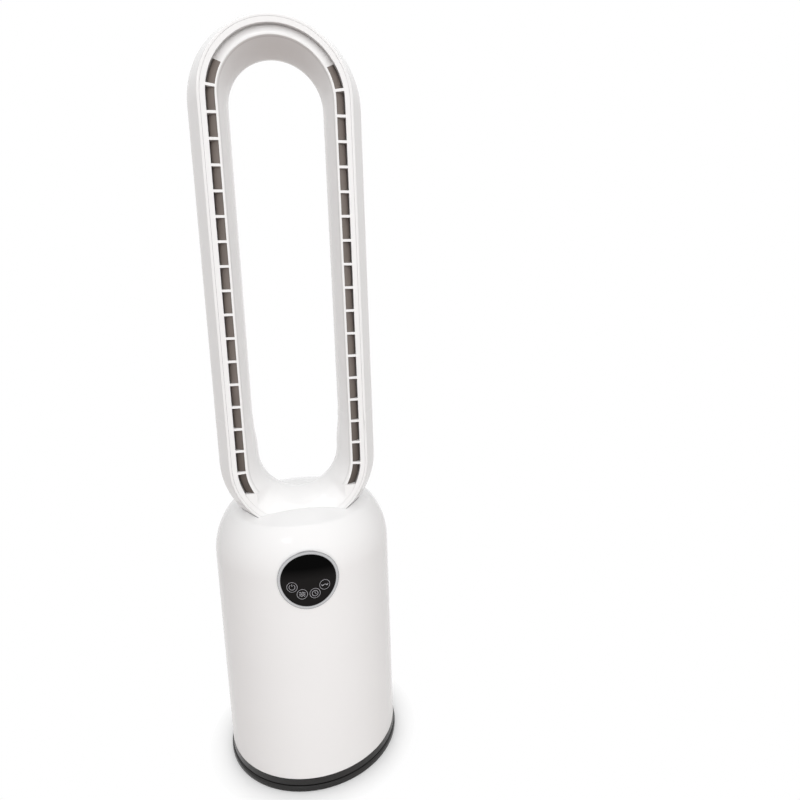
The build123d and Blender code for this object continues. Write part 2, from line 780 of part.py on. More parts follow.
# Columns between the turntable and the blower deck.
with BuildPart() as deck_columns:
    with BuildSketch(Plane.XY.offset(floor_top_z)):
        with PolarLocations(column_circle, column_count, start_angle=45):
            Circle(column_radius)
            Circle(screw_radius + screw_gap, mode=Mode.SUBTRACT)
    extrude(amount=deck_z - floor_top_z)
deck_columns.part.label = "deck_columns"
export_step(deck_columns.part, "parts/deck_columns.step")

with BuildPart() as column_screws:
    with Locations(Plane.XY.offset(deck_top_z), Plane.XY.offset(floor_z).rotated((180, 0, 0))):
        with PolarLocations(column_circle, column_count, start_angle=45):
            add(screw(screw_radius, screw_head_radius, screw_head - 0.4, screw_length))
column_screws.part.label = "column_screws"
export_step(column_screws.part, "parts/column_screws.step")


# ==== Blower ====

# Deck across the body, with lugs for the screws of the rear shell.
lug_angles = (30, 150)
lug_z = deck_z - lug_height / 2
deck_radius = inner_radius - seat_gap - tongue_wall - deck_gap
lug_reach = inner_radius - deck_gap
with BuildPart() as blower_deck:
    with BuildSketch(Plane.XY.offset(deck_z)):
        Circle(deck_radius)
        Circle(eye_radius + bell_lip + bell_wall + 0.5, mode=Mode.SUBTRACT)
        with PolarLocations(column_circle, column_count, start_angle=45):
            Circle(screw_radius + screw_gap, mode=Mode.SUBTRACT)
    extrude(amount=deck_thickness)
    with BuildSketch(Plane.XY.offset(deck_z - lug_height)):
        for angle in lug_angles:
            with PolarLocations(lug_reach - lug_depth / 2, 1, start_angle=angle):
                Rectangle(lug_depth, lug_width)
    extrude(amount=lug_height)
    with BuildSketch(Plane.XY.offset(deck_z - lug_height)):
        Circle(body_radius)
        Circle(lug_reach, mode=Mode.SUBTRACT)
    extrude(amount=lug_height, mode=Mode.SUBTRACT)
    with Locations(*[radial_plane(body_radius, angle, lug_z) for angle in lug_angles]):
        Hole(screw_radius + 0.05, depth=body_radius - lug_reach + lug_depth)
blower_deck.part.label = "blower_deck"
export_step(blower_deck.part, "parts/blower_deck.step")

# Bellmouth that leads the air into the impeller's eye.
with BuildPart() as bellmouth:
    with BuildSketch(Plane.XZ) as bell_section:
        with BuildLine():
            throat = (eye_radius + blade_gap, deck_top_z)
            mouth = (throat[0] + bell_lip - bell_wall, deck_top_z - bell_drop)
            TangentArc(throat, mouth, tangent=(0, -1))
            Line(mouth, (mouth[0], mouth[1] + bell_wall))
            TangentArc((throat[0] + bell_wall, deck_top_z), (mouth[0], mouth[1] + bell_wall),
                       tangent=(0, -1))
            Polyline((throat[0] + bell_wall, deck_top_z), (bell_flange_radius, deck_top_z),
                     (bell_flange_radius, deck_top_z + bell_wall), (throat[0], deck_top_z + bell_wall),
                     throat)
        make_face()
    revolve(axis=Axis.Z)
bellmouth.part.label = "bellmouth"
export_step(bellmouth.part, "parts/bellmouth.step")

# Rubber pucks between the deck and the blower housing.
with BuildPart() as rubber_isolators:
    with BuildSketch(Plane.XY.offset(deck_top_z)):
        with PolarLocations(isolator_circle, isolator_count):
            Circle(isolator_radius)
            Circle(screw_radius + screw_gap, mode=Mode.SUBTRACT)
    extrude(amount=isolator_height)
rubber_isolators.part.label = "rubber_isolators"
export_step(rubber_isolators.part, "parts/rubber_isolators.step")

# Blower housing: a cone round the impeller, then a straight bore round the diffuser.
cone_low = eye_radius + blade_gap
cone_high = impeller_rim_radius + blade_gap
with BuildPart() as blower_housing:
    with BuildSketch(Plane.XZ):
        with BuildLine():
            Polyline((cone_low, blower_base_z), (cone_high, impeller_high_z),
                     (housing_bore, diffuser_low_z - 0.5), (housing_bore, housing_top_z),
                     (housing_bore + duct_flange, housing_top_z),
                     (housing_bore + duct_flange, housing_top_z - flange_thickness),
                     (housing_bore + housing_wall, housing_top_z - flange_thickness),
                     (housing_bore + housing_wall, diffuser_low_z - 1.5),
                     (cone_high + housing_wall, impeller_high_z - 1.0),
                     (cone_low + housing_wall + 1.0, blower_base_z + flange_thickness),
                     (housing_flange_radius, blower_base_z + flange_thickness),
                     (housing_flange_radius, blower_base_z), close=True)
        make_face()
    revolve(axis=Axis.Z)
    with BuildSketch(Plane.XY.offset(blower_base_z)):
        with PolarLocations(isolator_circle, isolator_count):
            Circle(screw_radius + screw_gap)
    extrude(amount=flange_thickness, mode=Mode.SUBTRACT)
blower_housing.part.label = "blower_housing"
export_step(blower_housing.part, "parts/blower_housing.step")

with BuildPart() as housing_screws:
    with Locations(Plane.XY.offset(blower_base_z + flange_thickness)):
        with PolarLocations(isolator_circle, isolator_count):
            add(screw(screw_radius, screw_head_radius, screw_head,
                      flange_thickness + isolator_height - 0.1))
housing_screws.part.label = "housing_screws"
export_step(housing_screws.part, "parts/housing_screws.step")

# Mixed-flow impeller: a flared hub with twisted blades.
with BuildSketch(Plane.XZ) as blade_envelope:
    with BuildLine():
        Polyline((hub_low_radius - 1.0, impeller_low_z), (eye_radius, impeller_low_z),
                 (impeller_rim_radius, impeller_high_z), (hub_high_radius - 1.0, impeller_high_z),
                 close=True)
    make_face()
blade_stations = [(impeller_low_z + share * impeller_height, blade_turn * math.sqrt(share))
                  for share in (0.0, 0.33, 0.66, 1.0)]
impeller_blade = twisted_blade(blade_stations, hub_low_radius - 6.0, impeller_rim_radius + 3.0,
                               blade_thickness, blade_envelope.sketch)
hub_skin = 2.4
with BuildPart() as impeller:
    with BuildSketch(Plane.XZ):
        with BuildLine():
            Polyline((shaft_radius, impeller_low_z), (hub_low_radius, impeller_low_z),
                     (hub_high_radius, impeller_high_z), (hub_high_radius - hub_skin, impeller_high_z),
                     (hub_low_radius - hub_skin + 2.0, impeller_low_z + 6.0),
                     (shaft_radius + 5.0, impeller_low_z + 6.0),
                     (shaft_radius + 5.0, impeller_low_z + 24.0),
                     (shaft_radius, impeller_low_z + 24.0), close=True)
        make_face()
    revolve(axis=Axis.Z)
    with PolarLocations(0, impeller_blades):
        add(impeller_blade)
impeller.part.label = "impeller"
export_step(impeller.part, "parts/impeller.step")

# Diffuser: outer ring, straightening vanes and the pod that holds the motor.
ring_inner = housing_bore - seat_gap - 1.8
with BuildSketch(Plane.XZ) as vane_envelope:
    with BuildLine():
        Polyline((pod_radius - 1.0, diffuser_low_z + 4.0), (ring_inner + 1.0, diffuser_low_z + 4.0),
                 (ring_inner + 1.0, diffuser_high_z), (pod_radius - 1.0, diffuser_high_z), close=True)
    make_face()
vane_stations = [(diffuser_low_z + 4.0 + share * (diffuser_height - 4.0), -vane_turn * (1 - share) ** 2)
                 for share in (0.0, 0.4, 1.0)]
diffuser_vane = twisted_blade(vane_stations, pod_radius - 4.0, housing_bore, vane_thickness,
                              vane_envelope.sketch)
pod_floor = 2.5
with BuildPart() as diffuser:
    revolve(profiles=wall_section(ring_inner, housing_bore - seat_gap, diffuser_low_z,
                                  diffuser_high_z + 1.0), axis=Axis.Z)
    revolve(profiles=wall_section(pod_radius - pod_wall, pod_radius, diffuser_low_z,
                                  diffuser_high_z), axis=Axis.Z)
    revolve(profiles=wall_section(bearing_radius + running_gap + can_wall, pod_radius, diffuser_low_z,
                                  diffuser_low_z + pod_floor), axis=Axis.Z)
    with PolarLocations(0, diffuser_vanes):
        add(diffuser_vane)
diffuser.part.label = "diffuser"
export_step(diffuser.part, "parts/diffuser.step")

# Domed cap that closes the pod.
cap_round = (pod_radius**2 + pod_cap_height**2) / (2 * pod_cap_height)
cap_round_z = diffuser_high_z + pod_cap_height - cap_round
cap_start = math.degrees(math.atan2(cap_round - pod_cap_height, pod_radius))
plug_radius = pod_radius - pod_wall - seat_gap
with BuildPart() as pod_cap:
    with BuildSketch(Plane.XZ):
        with BuildLine():
            CenterArc((0, cap_round_z), cap_round, cap_start, 90 - cap_start)
            Polyline((0, diffuser_high_z + pod_cap_height), (0, diffuser_high_z - pod_plug_height),
                     (plug_radius, diffuser_high_z - pod_plug_height), (plug_radius, diffuser_high_z),
                     (pod_radius, diffuser_high_z))
        make_face()
    revolve(axis=Axis.Z)
pod_cap.part.label = "pod_cap"
export_step(pod_cap.part, "parts/pod_cap.step")

# Motor: can with both bearings, stator with poles, shaft and magnet rotor.
can_low_z = diffuser_low_z + pod_floor
can_high_z = can_low_z + can_height
with BuildPart() as motor_can:
    revolve(profiles=wall_section(0, can_radius, can_low_z, can_high_z), axis=Axis.Z)
    revolve(profiles=wall_section(0, can_radius - can_wall, can_low_z + can_wall, can_high_z - can_wall),
            axis=Axis.Z, mode=Mode.SUBTRACT)
    revolve(profiles=wall_section(0, bearing_radius + can_wall, can_low_z, can_low_z + bearing_width),
            axis=Axis.Z)
    revolve(profiles=wall_section(0, bearing_radius + can_wall, can_high_z - bearing_width, can_high_z),
            axis=Axis.Z)
    revolve(profiles=wall_section(0, bearing_radius, can_low_z - 1, can_high_z + 1), axis=Axis.Z,
            mode=Mode.SUBTRACT)
motor_can.part.label = "motor_can"
export_step(motor_can.part, "parts/motor_can.step")

with BuildPart() as motor_bearings:
    for base_z in (can_low_z, can_high_z - bearing_width):
        revolve(profiles=wall_section(shaft_radius + running_gap, bearing_radius, base_z,
                                      base_z + bearing_width), axis=Axis.Z)
motor_bearings.part.label = "motor_bearings"
export_step(motor_bearings.part, "parts/motor_bearings.step")

stator_low_z = can_low_z + (can_height - stator_height) / 2
with BuildPart() as motor_stator:
    with BuildSketch(Plane.XY.offset(stator_low_z)):
        Circle(can_radius - can_wall)
        Circle(can_radius - can_wall - stator_ring, mode=Mode.SUBTRACT)
        with PolarLocations((stator_bore + can_radius - can_wall) / 2, stator_poles):
            Rectangle(can_radius - can_wall - stator_bore - 2.0, pole_width)
        with PolarLocations(0, stator_poles):
            with BuildSketch(mode=Mode.PRIVATE) as pole_shoe:
                Circle(stator_bore + 2.5)
                Circle(stator_bore, mode=Mode.SUBTRACT)
                with Locations((stator_bore, 0)):
                    Rectangle(8, 2 * pole_width - 1, mode=Mode.INTERSECT)
            add(pole_shoe.sketch)
    extrude(amount=stator_height)
motor_stator.part.label = "motor_stator"
export_step(motor_stator.part, "parts/motor_stator.step")

with BuildPart() as motor_shaft:
    revolve(profiles=wall_section(0, shaft_radius, impeller_low_z + 1.0, can_high_z + 2.0), axis=Axis.Z)
motor_shaft.part.label = "motor_shaft"
export_step(motor_shaft.part, "parts/motor_shaft.step")

with BuildPart() as motor_rotor:
    revolve(profiles=wall_section(shaft_radius, rotor_radius, stator_low_z, stator_low_z + stator_height),
            axis=Axis.Z)
motor_rotor.part.label = "motor_rotor"
export_step(motor_rotor.part, "parts/motor_rotor.step")

# Outlet duct: from the round blower to the rounded rectangle of the neck.
duct_base_z = housing_top_z
duct_radius = housing_bore
with BuildPart() as outlet_duct:
    with BuildSketch(Plane.XY.offset(duct_base_z)):
        Circle(duct_radius + duct_wall)
    with BuildSketch(Plane.XY.offset(duct_top_z)):
        add(neck_rectangle(duct_wall))
    loft()
    with BuildSketch(Plane.XY.offset(duct_base_z)):
        Circle(duct_radius)
    with BuildSketch(Plane.XY.offset(duct_top_z)):
        add(neck_rectangle(0))
    loft(mode=Mode.SUBTRACT)
    with BuildSketch(Plane.XY.offset(duct_base_z)):
        Circle(duct_radius + duct_flange)
        Circle(duct_radius, mode=Mode.SUBTRACT)
    extrude(amount=flange_thickness)
    with BuildSketch(Plane.XY.offset(duct_top_z)):
        add(neck_flange_face())
    extrude(amount=-flange_thickness)
outlet_duct.part.label = "outlet_duct"
export_step(outlet_duct.part, "parts/outlet_duct.step")

with BuildPart() as neck_gasket:
    with BuildSketch(Plane.XY.offset(duct_top_z)):
        add(neck_flange_face())
    extrude(amount=gasket_thickness)
neck_gasket.part.label = "neck_gasket"
export_step(neck_gasket.part, "parts/neck_gasket.step")

with BuildPart() as neck_screws:
    with Locations((0, neck_y, spigot_base_z + flange_thickness)):
        with neck_screw_grid():
            add(screw(screw_radius, screw_head_radius, screw_head, screw_length))
neck_screws.part.label = "neck_screws"
export_step(neck_screws.part, "parts/neck_screws.step")


# ==== Loop ====

# The frame's plate lies in a step at the front of the shell.
frame_back_y = loop_front_y + frame_plate
with BuildSketch() as frame_zone:
    with BuildLine():
        Polyline((lip_radius - 20, loop_front_y - 5), (frame_edge_radius + edge_gap, loop_front_y - 5),
                 (frame_edge_radius + edge_gap, frame_back_y), (lip_radius - 20, frame_back_y), close=True)
    make_face()

# Shell section: outer wall, round rear and inner wall, with a ledge for the frame.
with BuildSketch() as ledge_zone:
    with BuildLine():
        Polyline((frame_edge_radius - ledge_width, frame_back_y), (rim_radius + 20, frame_back_y),
                 (rim_radius + 20, frame_back_y + ledge_thickness),
                 (frame_edge_radius - ledge_width, frame_back_y + ledge_thickness), close=True)
    make_face()
    add(limb_outline(rounded=False, inset=loop_wall / 2), mode=Mode.INTERSECT)
with BuildSketch() as shell_section:
    add(limb_outline(rounded=True))
    add(limb_outline(rounded=False, inset=loop_wall), mode=Mode.SUBTRACT)
    add(frame_zone.sketch, mode=Mode.SUBTRACT)
    add(ledge_zone.sketch)


def below_vents(radius, low_y, high_y, level):
    """Round block below a level, from one depth to another, about the lower bend's centre."""
    with BuildPart() as block:
        with BuildSketch(Plane.XZ.offset(-low_y)):
            with Locations((0, loop_low_z)):
                Circle(radius)
            with Locations((0, level)):
                Rectangle(4 * radius, 4 * radius, align=(Align.CENTER, Align.MAX), mode=Mode.INTERSECT)
        extrude(amount=low_y - high_y)
    return block.part


# Foot of the loop. Its duct keeps clear of the saddle's front face, below the vents.
with BuildPart() as saddle_duct:
    add(saddle_form(rounded=False, inset=loop_wall))
    add(below_vents(2 * rim_radius, loop_front_y, loop_front_y + saddle_face, vent_end_z),
        mode=Mode.SUBTRACT)
with BuildPart() as saddle_seat:
    add(lower_bend(frame_zone.sketch))
    add(below_vents(slot_outer_radius, loop_front_y - 6, frame_back_y + 1, vent_end_z), mode=Mode.SUBTRACT)

# The loop's shell ends in a spigot with a flange, inside the body's cap.
with BuildPart() as loop_shell:
    with BuildSketch(Plane.XY.offset(spigot_base_z)):
        add(neck_rectangle(loop_wall))
    extrude(amount=spigot_top_z - spigot_base_z)
    add(saddle_form(rounded=True))
    add(saddle_duct.part, mode=Mode.SUBTRACT)
    add(saddle_seat.part, mode=Mode.SUBTRACT)
    add(lower_bend(ledge_zone.sketch))
    add(limbs_and_top(shell_section.sketch))
    with BuildSketch(Plane.XY.offset(spigot_base_z)):
        add(neck_rectangle(0))
    extrude(amount=spigot_top_z - spigot_base_z, mode=Mode.SUBTRACT)
    with BuildSketch(Plane.XY.offset(spigot_base_z)):
        add(neck_flange_face())
    extrude(amount=flange_thickness)
loop_shell.part.label = "loop_shell"
export_step(loop_shell.part, "parts/loop_shell.step")

# Front frame: a plate with the slot, the slot's outer wall, ribs between the vents
# and a sloping blank over the top. Below the vents only the plate's outer band goes on.
floor_back_y = loop_front_y + slot_floor
recess_back_y = loop_front_y + slot_depth
with BuildSketch() as plate_zone:
    with BuildLine():
        Polyline((lip_radius - 20, loop_front_y - 5), (frame_edge_radius, loop_front_y - 5),
                 (frame_edge_radius, frame_back_y), (lip_radius - 20, frame_back_y), close=True)
    make_face()
with BuildSketch() as slot_zone:
    with Locations((vent_radius, loop_front_y)):
        Rectangle(slot_outer_radius - slot_inner_radius, 4 * frame_plate)
with BuildSketch() as slot_wall:
    with Locations((slot_outer_radius, loop_front_y)):
        Rectangle(frame_wall, slot_depth, align=(Align.MIN, Align.MIN))
with BuildSketch() as frame_section:
    add(limb_outline(rounded=True))
    add(plate_zone.sketch, mode=Mode.INTERSECT)
    add(slot_zone.sketch, mode=Mode.SUBTRACT)
    add(slot_wall.sketch)

rib_sink = 0.4


def recess_arc(shift):
    """Curved back of the recess, moved rearwards: its two ends and a point between them."""
    return [(slot_inner_radius - rib_sink, floor_back_y + shift),
            (vent_radius + recess_bulge, (floor_back_y + recess_back_y) / 2 + shift),
            (slot_outer_radius + rib_sink, recess_back_y + shift)]


with BuildSketch() as rib_section:
    with BuildLine():
        rib_arc = recess_arc(0)
        ThreePointArc(*rib_arc)
        Polyline(rib_arc[0], (rib_arc[0][0], loop_front_y), (rib_arc[2][0], loop_front_y), rib_arc[2])
    make_face()

with BuildSketch() as blank_section:
    with BuildLine():
        Polyline((slot_inner_radius - rib_sink, loop_front_y + lip_round),
                 (slot_outer_radius + rib_sink, recess_back_y - blank_thickness),
                 (slot_outer_radius + rib_sink, recess_back_y),
                 (slot_inner_radius - rib_sink, loop_front_y + lip_round + blank_thickness), close=True)
    make_face()

rib_planes = [vent_plane(vent_rise + (i - vents_per_side / 2) * vent_pitch)
              for i in range(1, vents_per_side)]
with BuildPart() as slot_ribs:
    with BuildSketch(*rib_planes):
        add(rib_section.sketch)
    extrude(amount=rib_thickness / 2, both=True)
    mirror(about=Plane.YZ)

with BuildPart() as low_frame:
    add(saddle_form(rounded=True, lip_of=lambda angle: lip_radius))
    add(lower_bend(plate_zone.sketch), mode=Mode.INTERSECT)
    add(lower_bend(slot_zone.sketch), mode=Mode.SUBTRACT)
    add(lower_bend(slot_wall.sketch))
with BuildPart() as loop_frame:
    add(low_frame.part)
    add(limbs_and_top(frame_section.sketch))
    add(slot_ribs.part)
    with BuildSketch(bend_plane(loop_high_z, top_turn)):
        add(blank_section.sketch)
    revolve(axis=Axis((0, 0, loop_high_z), (0, -1, 0)), revolution_arc=180 - 2 * top_turn)
    add(below_vents(slot_outer_radius + seat_gap, loop_front_y - 5, recess_back_y + 1,
                    vent_end_z + seat_gap), mode=Mode.SUBTRACT)
    add(below_vents(2 * rim_radius, frame_back_y, recess_back_y + 1, vent_end_z + seat_gap),
        mode=Mode.SUBTRACT)
loop_frame.part.label = "loop_frame"
export_step(loop_frame.part, "parts/loop_frame.step")

# Dark guide strips behind the ribs. Air leaves the duct through the slit beside them.
with BuildSketch() as guide_section:
    with BuildLine():
        guide_face = recess_arc(seat_gap)
        guide_back = recess_arc(seat_gap + guide_thickness)
        ThreePointArc(*guide_face)
        Line(guide_face[2], guide_back[2])
        ThreePointArc(*guide_back)
        Line(guide_face[0], guide_back[0])
    make_face()
    with Locations((slot_inner_radius + seat_gap, loop_front_y)):
        Rectangle(slot_outer_radius - slot_inner_radius - guide_slit - seat_gap, 3 * slot_depth,
                  align=(Align.MIN, Align.CENTER), mode=Mode.INTERSECT)
with BuildPart() as slot_guide_right:
    add(along_vents(guide_section.sketch))
    add(below_vents(2 * rim_radius, loop_front_y, recess_back_y + 5, vent_end_z + seat_gap),
        mode=Mode.SUBTRACT)
slot_guide_right.part.label = "slot_guide_right"
export_step(slot_guide_right.part, "parts/slot_guide_right.step")

with BuildPart() as slot_guide_left:
    add(slot_guide_right.part.mirror(Plane.YZ))
slot_guide_left.part.label = "slot_guide_left"
export_step(slot_guide_left.part, "parts/slot_guide_left.step")


# ==== Body shells ====

neck_hole = saddle_form(rounded=False, inset=-neck_gap)

# Both shells have the same wall. It is cut in two at the seam.
with BuildPart() as shell_form:
    revolve(profiles=body_half_section(0, shell_base_z), axis=Axis.Z)
    revolve(profiles=body_half_section(body_wall, shell_base_z - 1), axis=Axis.Z, mode=Mode.SUBTRACT)

# Tongue inside the rear shell that bridges the seam.
with BuildPart() as seam_tongue:
    revolve(profiles=body_half_section(body_wall - tongue_root, shell_base_z + upstand_height + 1), axis=Axis.Z)
    revolve(profiles=body_half_section(body_wall + seat_gap + tongue_wall, shell_base_z), axis=Axis.Z,
            mode=Mode.SUBTRACT)
    split(bisect_by=Plane.XZ.offset(-seam_y - 4 * seam_gap), keep=Keep.BOTTOM)
    split(bisect_by=Plane.XZ.offset(-seam_y - tongue_reach), keep=Keep.TOP)
with BuildPart() as tongue_lip:
    revolve(profiles=body_half_section(body_wall + seat_gap, shell_base_z + upstand_height + 1),
            axis=Axis.Z)
    revolve(profiles=body_half_section(body_wall + seat_gap + tongue_wall, shell_base_z), axis=Axis.Z,
            mode=Mode.SUBTRACT)
    split(bisect_by=Plane.XZ.offset(-seam_y + tongue_reach), keep=Keep.BOTTOM)
    split(bisect_by=Plane.XZ.offset(-seam_y - tongue_reach), keep=Keep.TOP)

with BuildPart() as front_shell:
    add(shell_form.part)
    split(bisect_by=Plane.XZ.offset(-seam_y + seam_gap / 2), keep=Keep.TOP)
    add(neck_hole, mode=Mode.SUBTRACT)
    with BuildSketch(Plane.XZ.offset(body_radius + 5)):
        with Locations((0, display_z)):
            Circle(glass_radius + bezel_wall + seat_gap)
    extrude(amount=-30, mode=Mode.SUBTRACT)
front_shell.part.label = "front_shell"
export_step(front_shell.part, "parts/front_shell.step")

# Window at the lower rear for the intake cover.
window_start = 90 - intake_half_angle
with BuildPart() as intake_window:
    with BuildSketch(Plane.XZ.rotated((0, 0, window_start))):
        with BuildLine():
            Polyline((body_radius - 10, intake_low_z), (body_radius + 5, intake_low_z),
                     (body_radius + 5, intake_high_z), (body_radius - 10, intake_high_z), close=True)
        make_face()
    revolve(axis=Axis.Z, revolution_arc=2 * intake_half_angle)

with BuildPart() as filter_ledges:
    ledge_inner = inner_radius - filter_thickness - 4.0
    for ledge_z in (intake_low_z - filter_ledge, intake_high_z + 0.5):
        with BuildSketch(Plane.XZ.rotated((0, 0, window_start))):
            with BuildLine():
                Polyline((ledge_inner, ledge_z), (inner_radius + 0.5, ledge_z),
                         (inner_radius + 0.5, ledge_z + filter_ledge - 0.5),
                         (ledge_inner, ledge_z + filter_ledge - 0.5), close=True)
            make_face()
        revolve(axis=Axis.Z, revolution_arc=2 * intake_half_angle)

with BuildPart() as rear_shell:
    add(shell_form.part)
    split(bisect_by=Plane.XZ.offset(-seam_y - seam_gap / 2), keep=Keep.BOTTOM)
    add(seam_tongue.part)
    add(tongue_lip.part)
    add(neck_hole, mode=Mode.SUBTRACT)
    add(intake_window.part, mode=Mode.SUBTRACT)
    add(filter_ledges.part)
    with BuildSketch(Plane.XZ.offset(-body_radius - 5)):
        with Locations((0, inlet_z)):
            Rectangle(inlet_width + 2 * inlet_wall + 0.2, inlet_height + 2 * inlet_wall + 0.2)
    extrude(amount=15, mode=Mode.SUBTRACT)
    with Locations(*[radial_plane(body_radius, angle, lug_z) for angle in lug_angles]):
        Hole(screw_radius + screw_gap, depth=body_wall + 3)
rear_shell.part.label = "rear_shell"
export_step(rear_shell.part, "parts/rear_shell.step")

with BuildPart() as shell_screws:
    with Locations(*[radial_plane(body_radius, angle, lug_z) for angle in lug_angles]):
        add(screw(screw_radius, screw_head_radius, 1.2, screw_length))
shell_screws.part.label = "shell_screws"
export_step(shell_screws.part, "parts/shell_screws.step")

# Slotted cover over the intake. It lies flush in the window.
gap_angle = math.degrees(cover_gap / body_radius)
row_span = (slot_rows - 1) * slot_row_pitch
first_row_z = (intake_low_z + intake_high_z - row_span - slot_height) / 2
column_span = slot_columns * slot_column_angle + (slot_columns - 1) * slot_mullion_angle
with BuildPart() as air_slots:
    with BuildSketch(Plane.XZ.rotated((0, 0, 90 - column_span / 2))):
        for row in range(slot_rows):
            with Locations((body_radius, first_row_z + row * slot_row_pitch)):
                Rectangle(4 * cover_wall, slot_height, align=(Align.CENTER, Align.MIN))
    revolve(axis=Axis.Z, revolution_arc=slot_column_angle)
with BuildPart() as intake_cover:
    with BuildSketch(Plane.XZ.rotated((0, 0, window_start + gap_angle))):
        with BuildLine():
            Polyline((body_radius - cover_wall, intake_low_z + cover_gap), (body_radius, intake_low_z + cover_gap),
                     (body_radius, intake_high_z - cover_gap),
                     (body_radius - cover_wall, intake_high_z - cover_gap), close=True)
        make_face()
    revolve(axis=Axis.Z, revolution_arc=2 * (intake_half_angle - gap_angle))
    for column in range(slot_columns):
        turn = column * (slot_column_angle + slot_mullion_angle)
        add(air_slots.part.rotate(Axis.Z, turn), mode=Mode.SUBTRACT)
intake_cover.part.label = "intake_cover"
export_step(intake_cover.part, "parts/intake_cover.step")

# Curved dust filter behind the cover, between the two ledges.
filter_outer = inner_radius - 0.3
with BuildPart() as dust_filter:
    with BuildSketch(Plane.XZ.rotated((0, 0, 90 - filter_half_angle))):
        with BuildLine():
            Polyline((filter_outer - filter_thickness, intake_low_z - 0.3), (filter_outer, intake_low_z - 0.3),
                     (filter_outer, intake_high_z + 0.3),
                     (filter_outer - filter_thickness, intake_high_z + 0.3), close=True)
        make_face()
    revolve(axis=Axis.Z, revolution_arc=2 * filter_half_angle)
dust_filter.part.label = "dust_filter"
export_step(dust_filter.part, "parts/dust_filter.step")


# ==== Display ====

display_plane = Plane.XZ.offset(body_radius + trim_margin)


def round_plug(radius):
    """Cylinder along Y through the display, to trim what follows the body's curve."""
    with BuildPart() as plug:
        with BuildSketch(display_plane):
            with Locations((0, display_z)):
                Circle(radius)
        extrude(amount=-2 * trim_margin - bezel_depth)
    return plug.part


def curved_skin(skin_radius, outer_radius):
    """Upright tube wall about the body's axis, tall enough for the display."""
    reach = display_radius + trim_margin
    return wall_section(skin_radius, outer_radius, display_z - reach, display_z + reach)


with BuildPart() as display_bezel:
    revolve(profiles=curved_skin(body_radius + 0.05, body_radius + bezel_proud), axis=Axis.Z)
    add(round_plug(display_radius), mode=Mode.INTERSECT)
    with BuildSketch(Plane.XZ.offset(body_radius - bezel_depth)):
        with Locations((0, display_z)):
            Circle(glass_radius + bezel_wall)
    extrude(until=Until.NEXT)
    add(round_plug(glass_radius), mode=Mode.SUBTRACT)
display_bezel.part.label = "display_bezel"
export_step(display_bezel.part, "parts/display_bezel.step")

with BuildPart() as display_glass:
    revolve(profiles=curved_skin(body_radius + glass_proud - glass_thickness, body_radius + glass_proud),
            axis=Axis.Z)
    add(round_plug(glass_radius - glass_gap), mode=Mode.INTERSECT)
display_glass.part.label = "display_glass"
export_step(display_glass.part, "parts/display_glass.step")

# Flat board with the touch keys and the digits, behind the glass.
key_board_y = math.sqrt((body_radius + glass_proud - glass_thickness) ** 2 - glass_radius**2) - 0.3
with BuildPart() as key_board:
    with BuildSketch(Plane.XZ.offset(key_board_y - key_board_thickness)):
        with Locations((0, display_z)):
            Circle(glass_radius - glass_gap)
    extrude(amount=key_board_thickness)
key_board.part.label = "key_board"
export_step(key_board.part, "parts/key_board.step")


# ==== Main board and power inlet ====

board_mid_z = board_low_z + board_height / 2
board_y = capacitor_height + board_gap - math.sqrt(inner_radius**2 - component_reach**2)
board_back_y = board_y + board_thickness
bracket_y = board_back_y + standoff_length
with BuildPart() as board_bracket:
    with BuildSketch(Plane.XZ.offset(-bracket_y)):
        with Locations((0, floor_top_z)):
            Rectangle(board_width, board_low_z + board_height - floor_top_z,
                      align=(Align.CENTER, Align.MIN))
    extrude(amount=-bracket_thickness)
    with BuildSketch(Plane.XY.offset(floor_top_z)):
        with Locations((0, bracket_y)):
            Rectangle(board_width, 16.0, align=(Align.CENTER, Align.MIN))
    extrude(amount=bracket_thickness)
    with BuildSketch(Plane.XZ.offset(-bracket_y)):
        with Locations((0, board_mid_z)):
            with GridLocations(board_width - 2 * standoff_inset, board_height - 2 * standoff_inset, 2, 2):
                Circle(standoff_radius)
    extrude(amount=standoff_length)
board_bracket.part.label = "board_bracket"
export_step(board_bracket.part, "parts/board_bracket.step")

with BuildPart() as main_board:
    with BuildSketch(Plane.XZ.offset(-board_back_y)):
        with Locations((0, board_mid_z)):
            Rectangle(board_width, board_height)
    extrude(amount=board_thickness)
main_board.part.label = "main_board"
export_step(main_board.part, "parts/main_board.step")

# Transformer, capacitors and relay on the board.
with BuildPart() as board_parts:
    with BuildSketch(Plane.XZ.offset(-board_y)):
        with Locations((-18, board_mid_z + 12)):
            Rectangle(22, 20)
        with Locations((14, board_mid_z - 18)):
            Rectangle(18, 12)
    extrude(amount=transformer_height)
    with BuildSketch(Plane.XZ.offset(-board_y)):
        with Locations((10, board_mid_z + 14), (22, board_mid_z + 14), (-16, board_mid_z - 18)):
            Circle(5)
    extrude(amount=capacitor_height)
board_parts.part.label = "board_parts"
export_step(board_parts.part, "parts/board_parts.step")

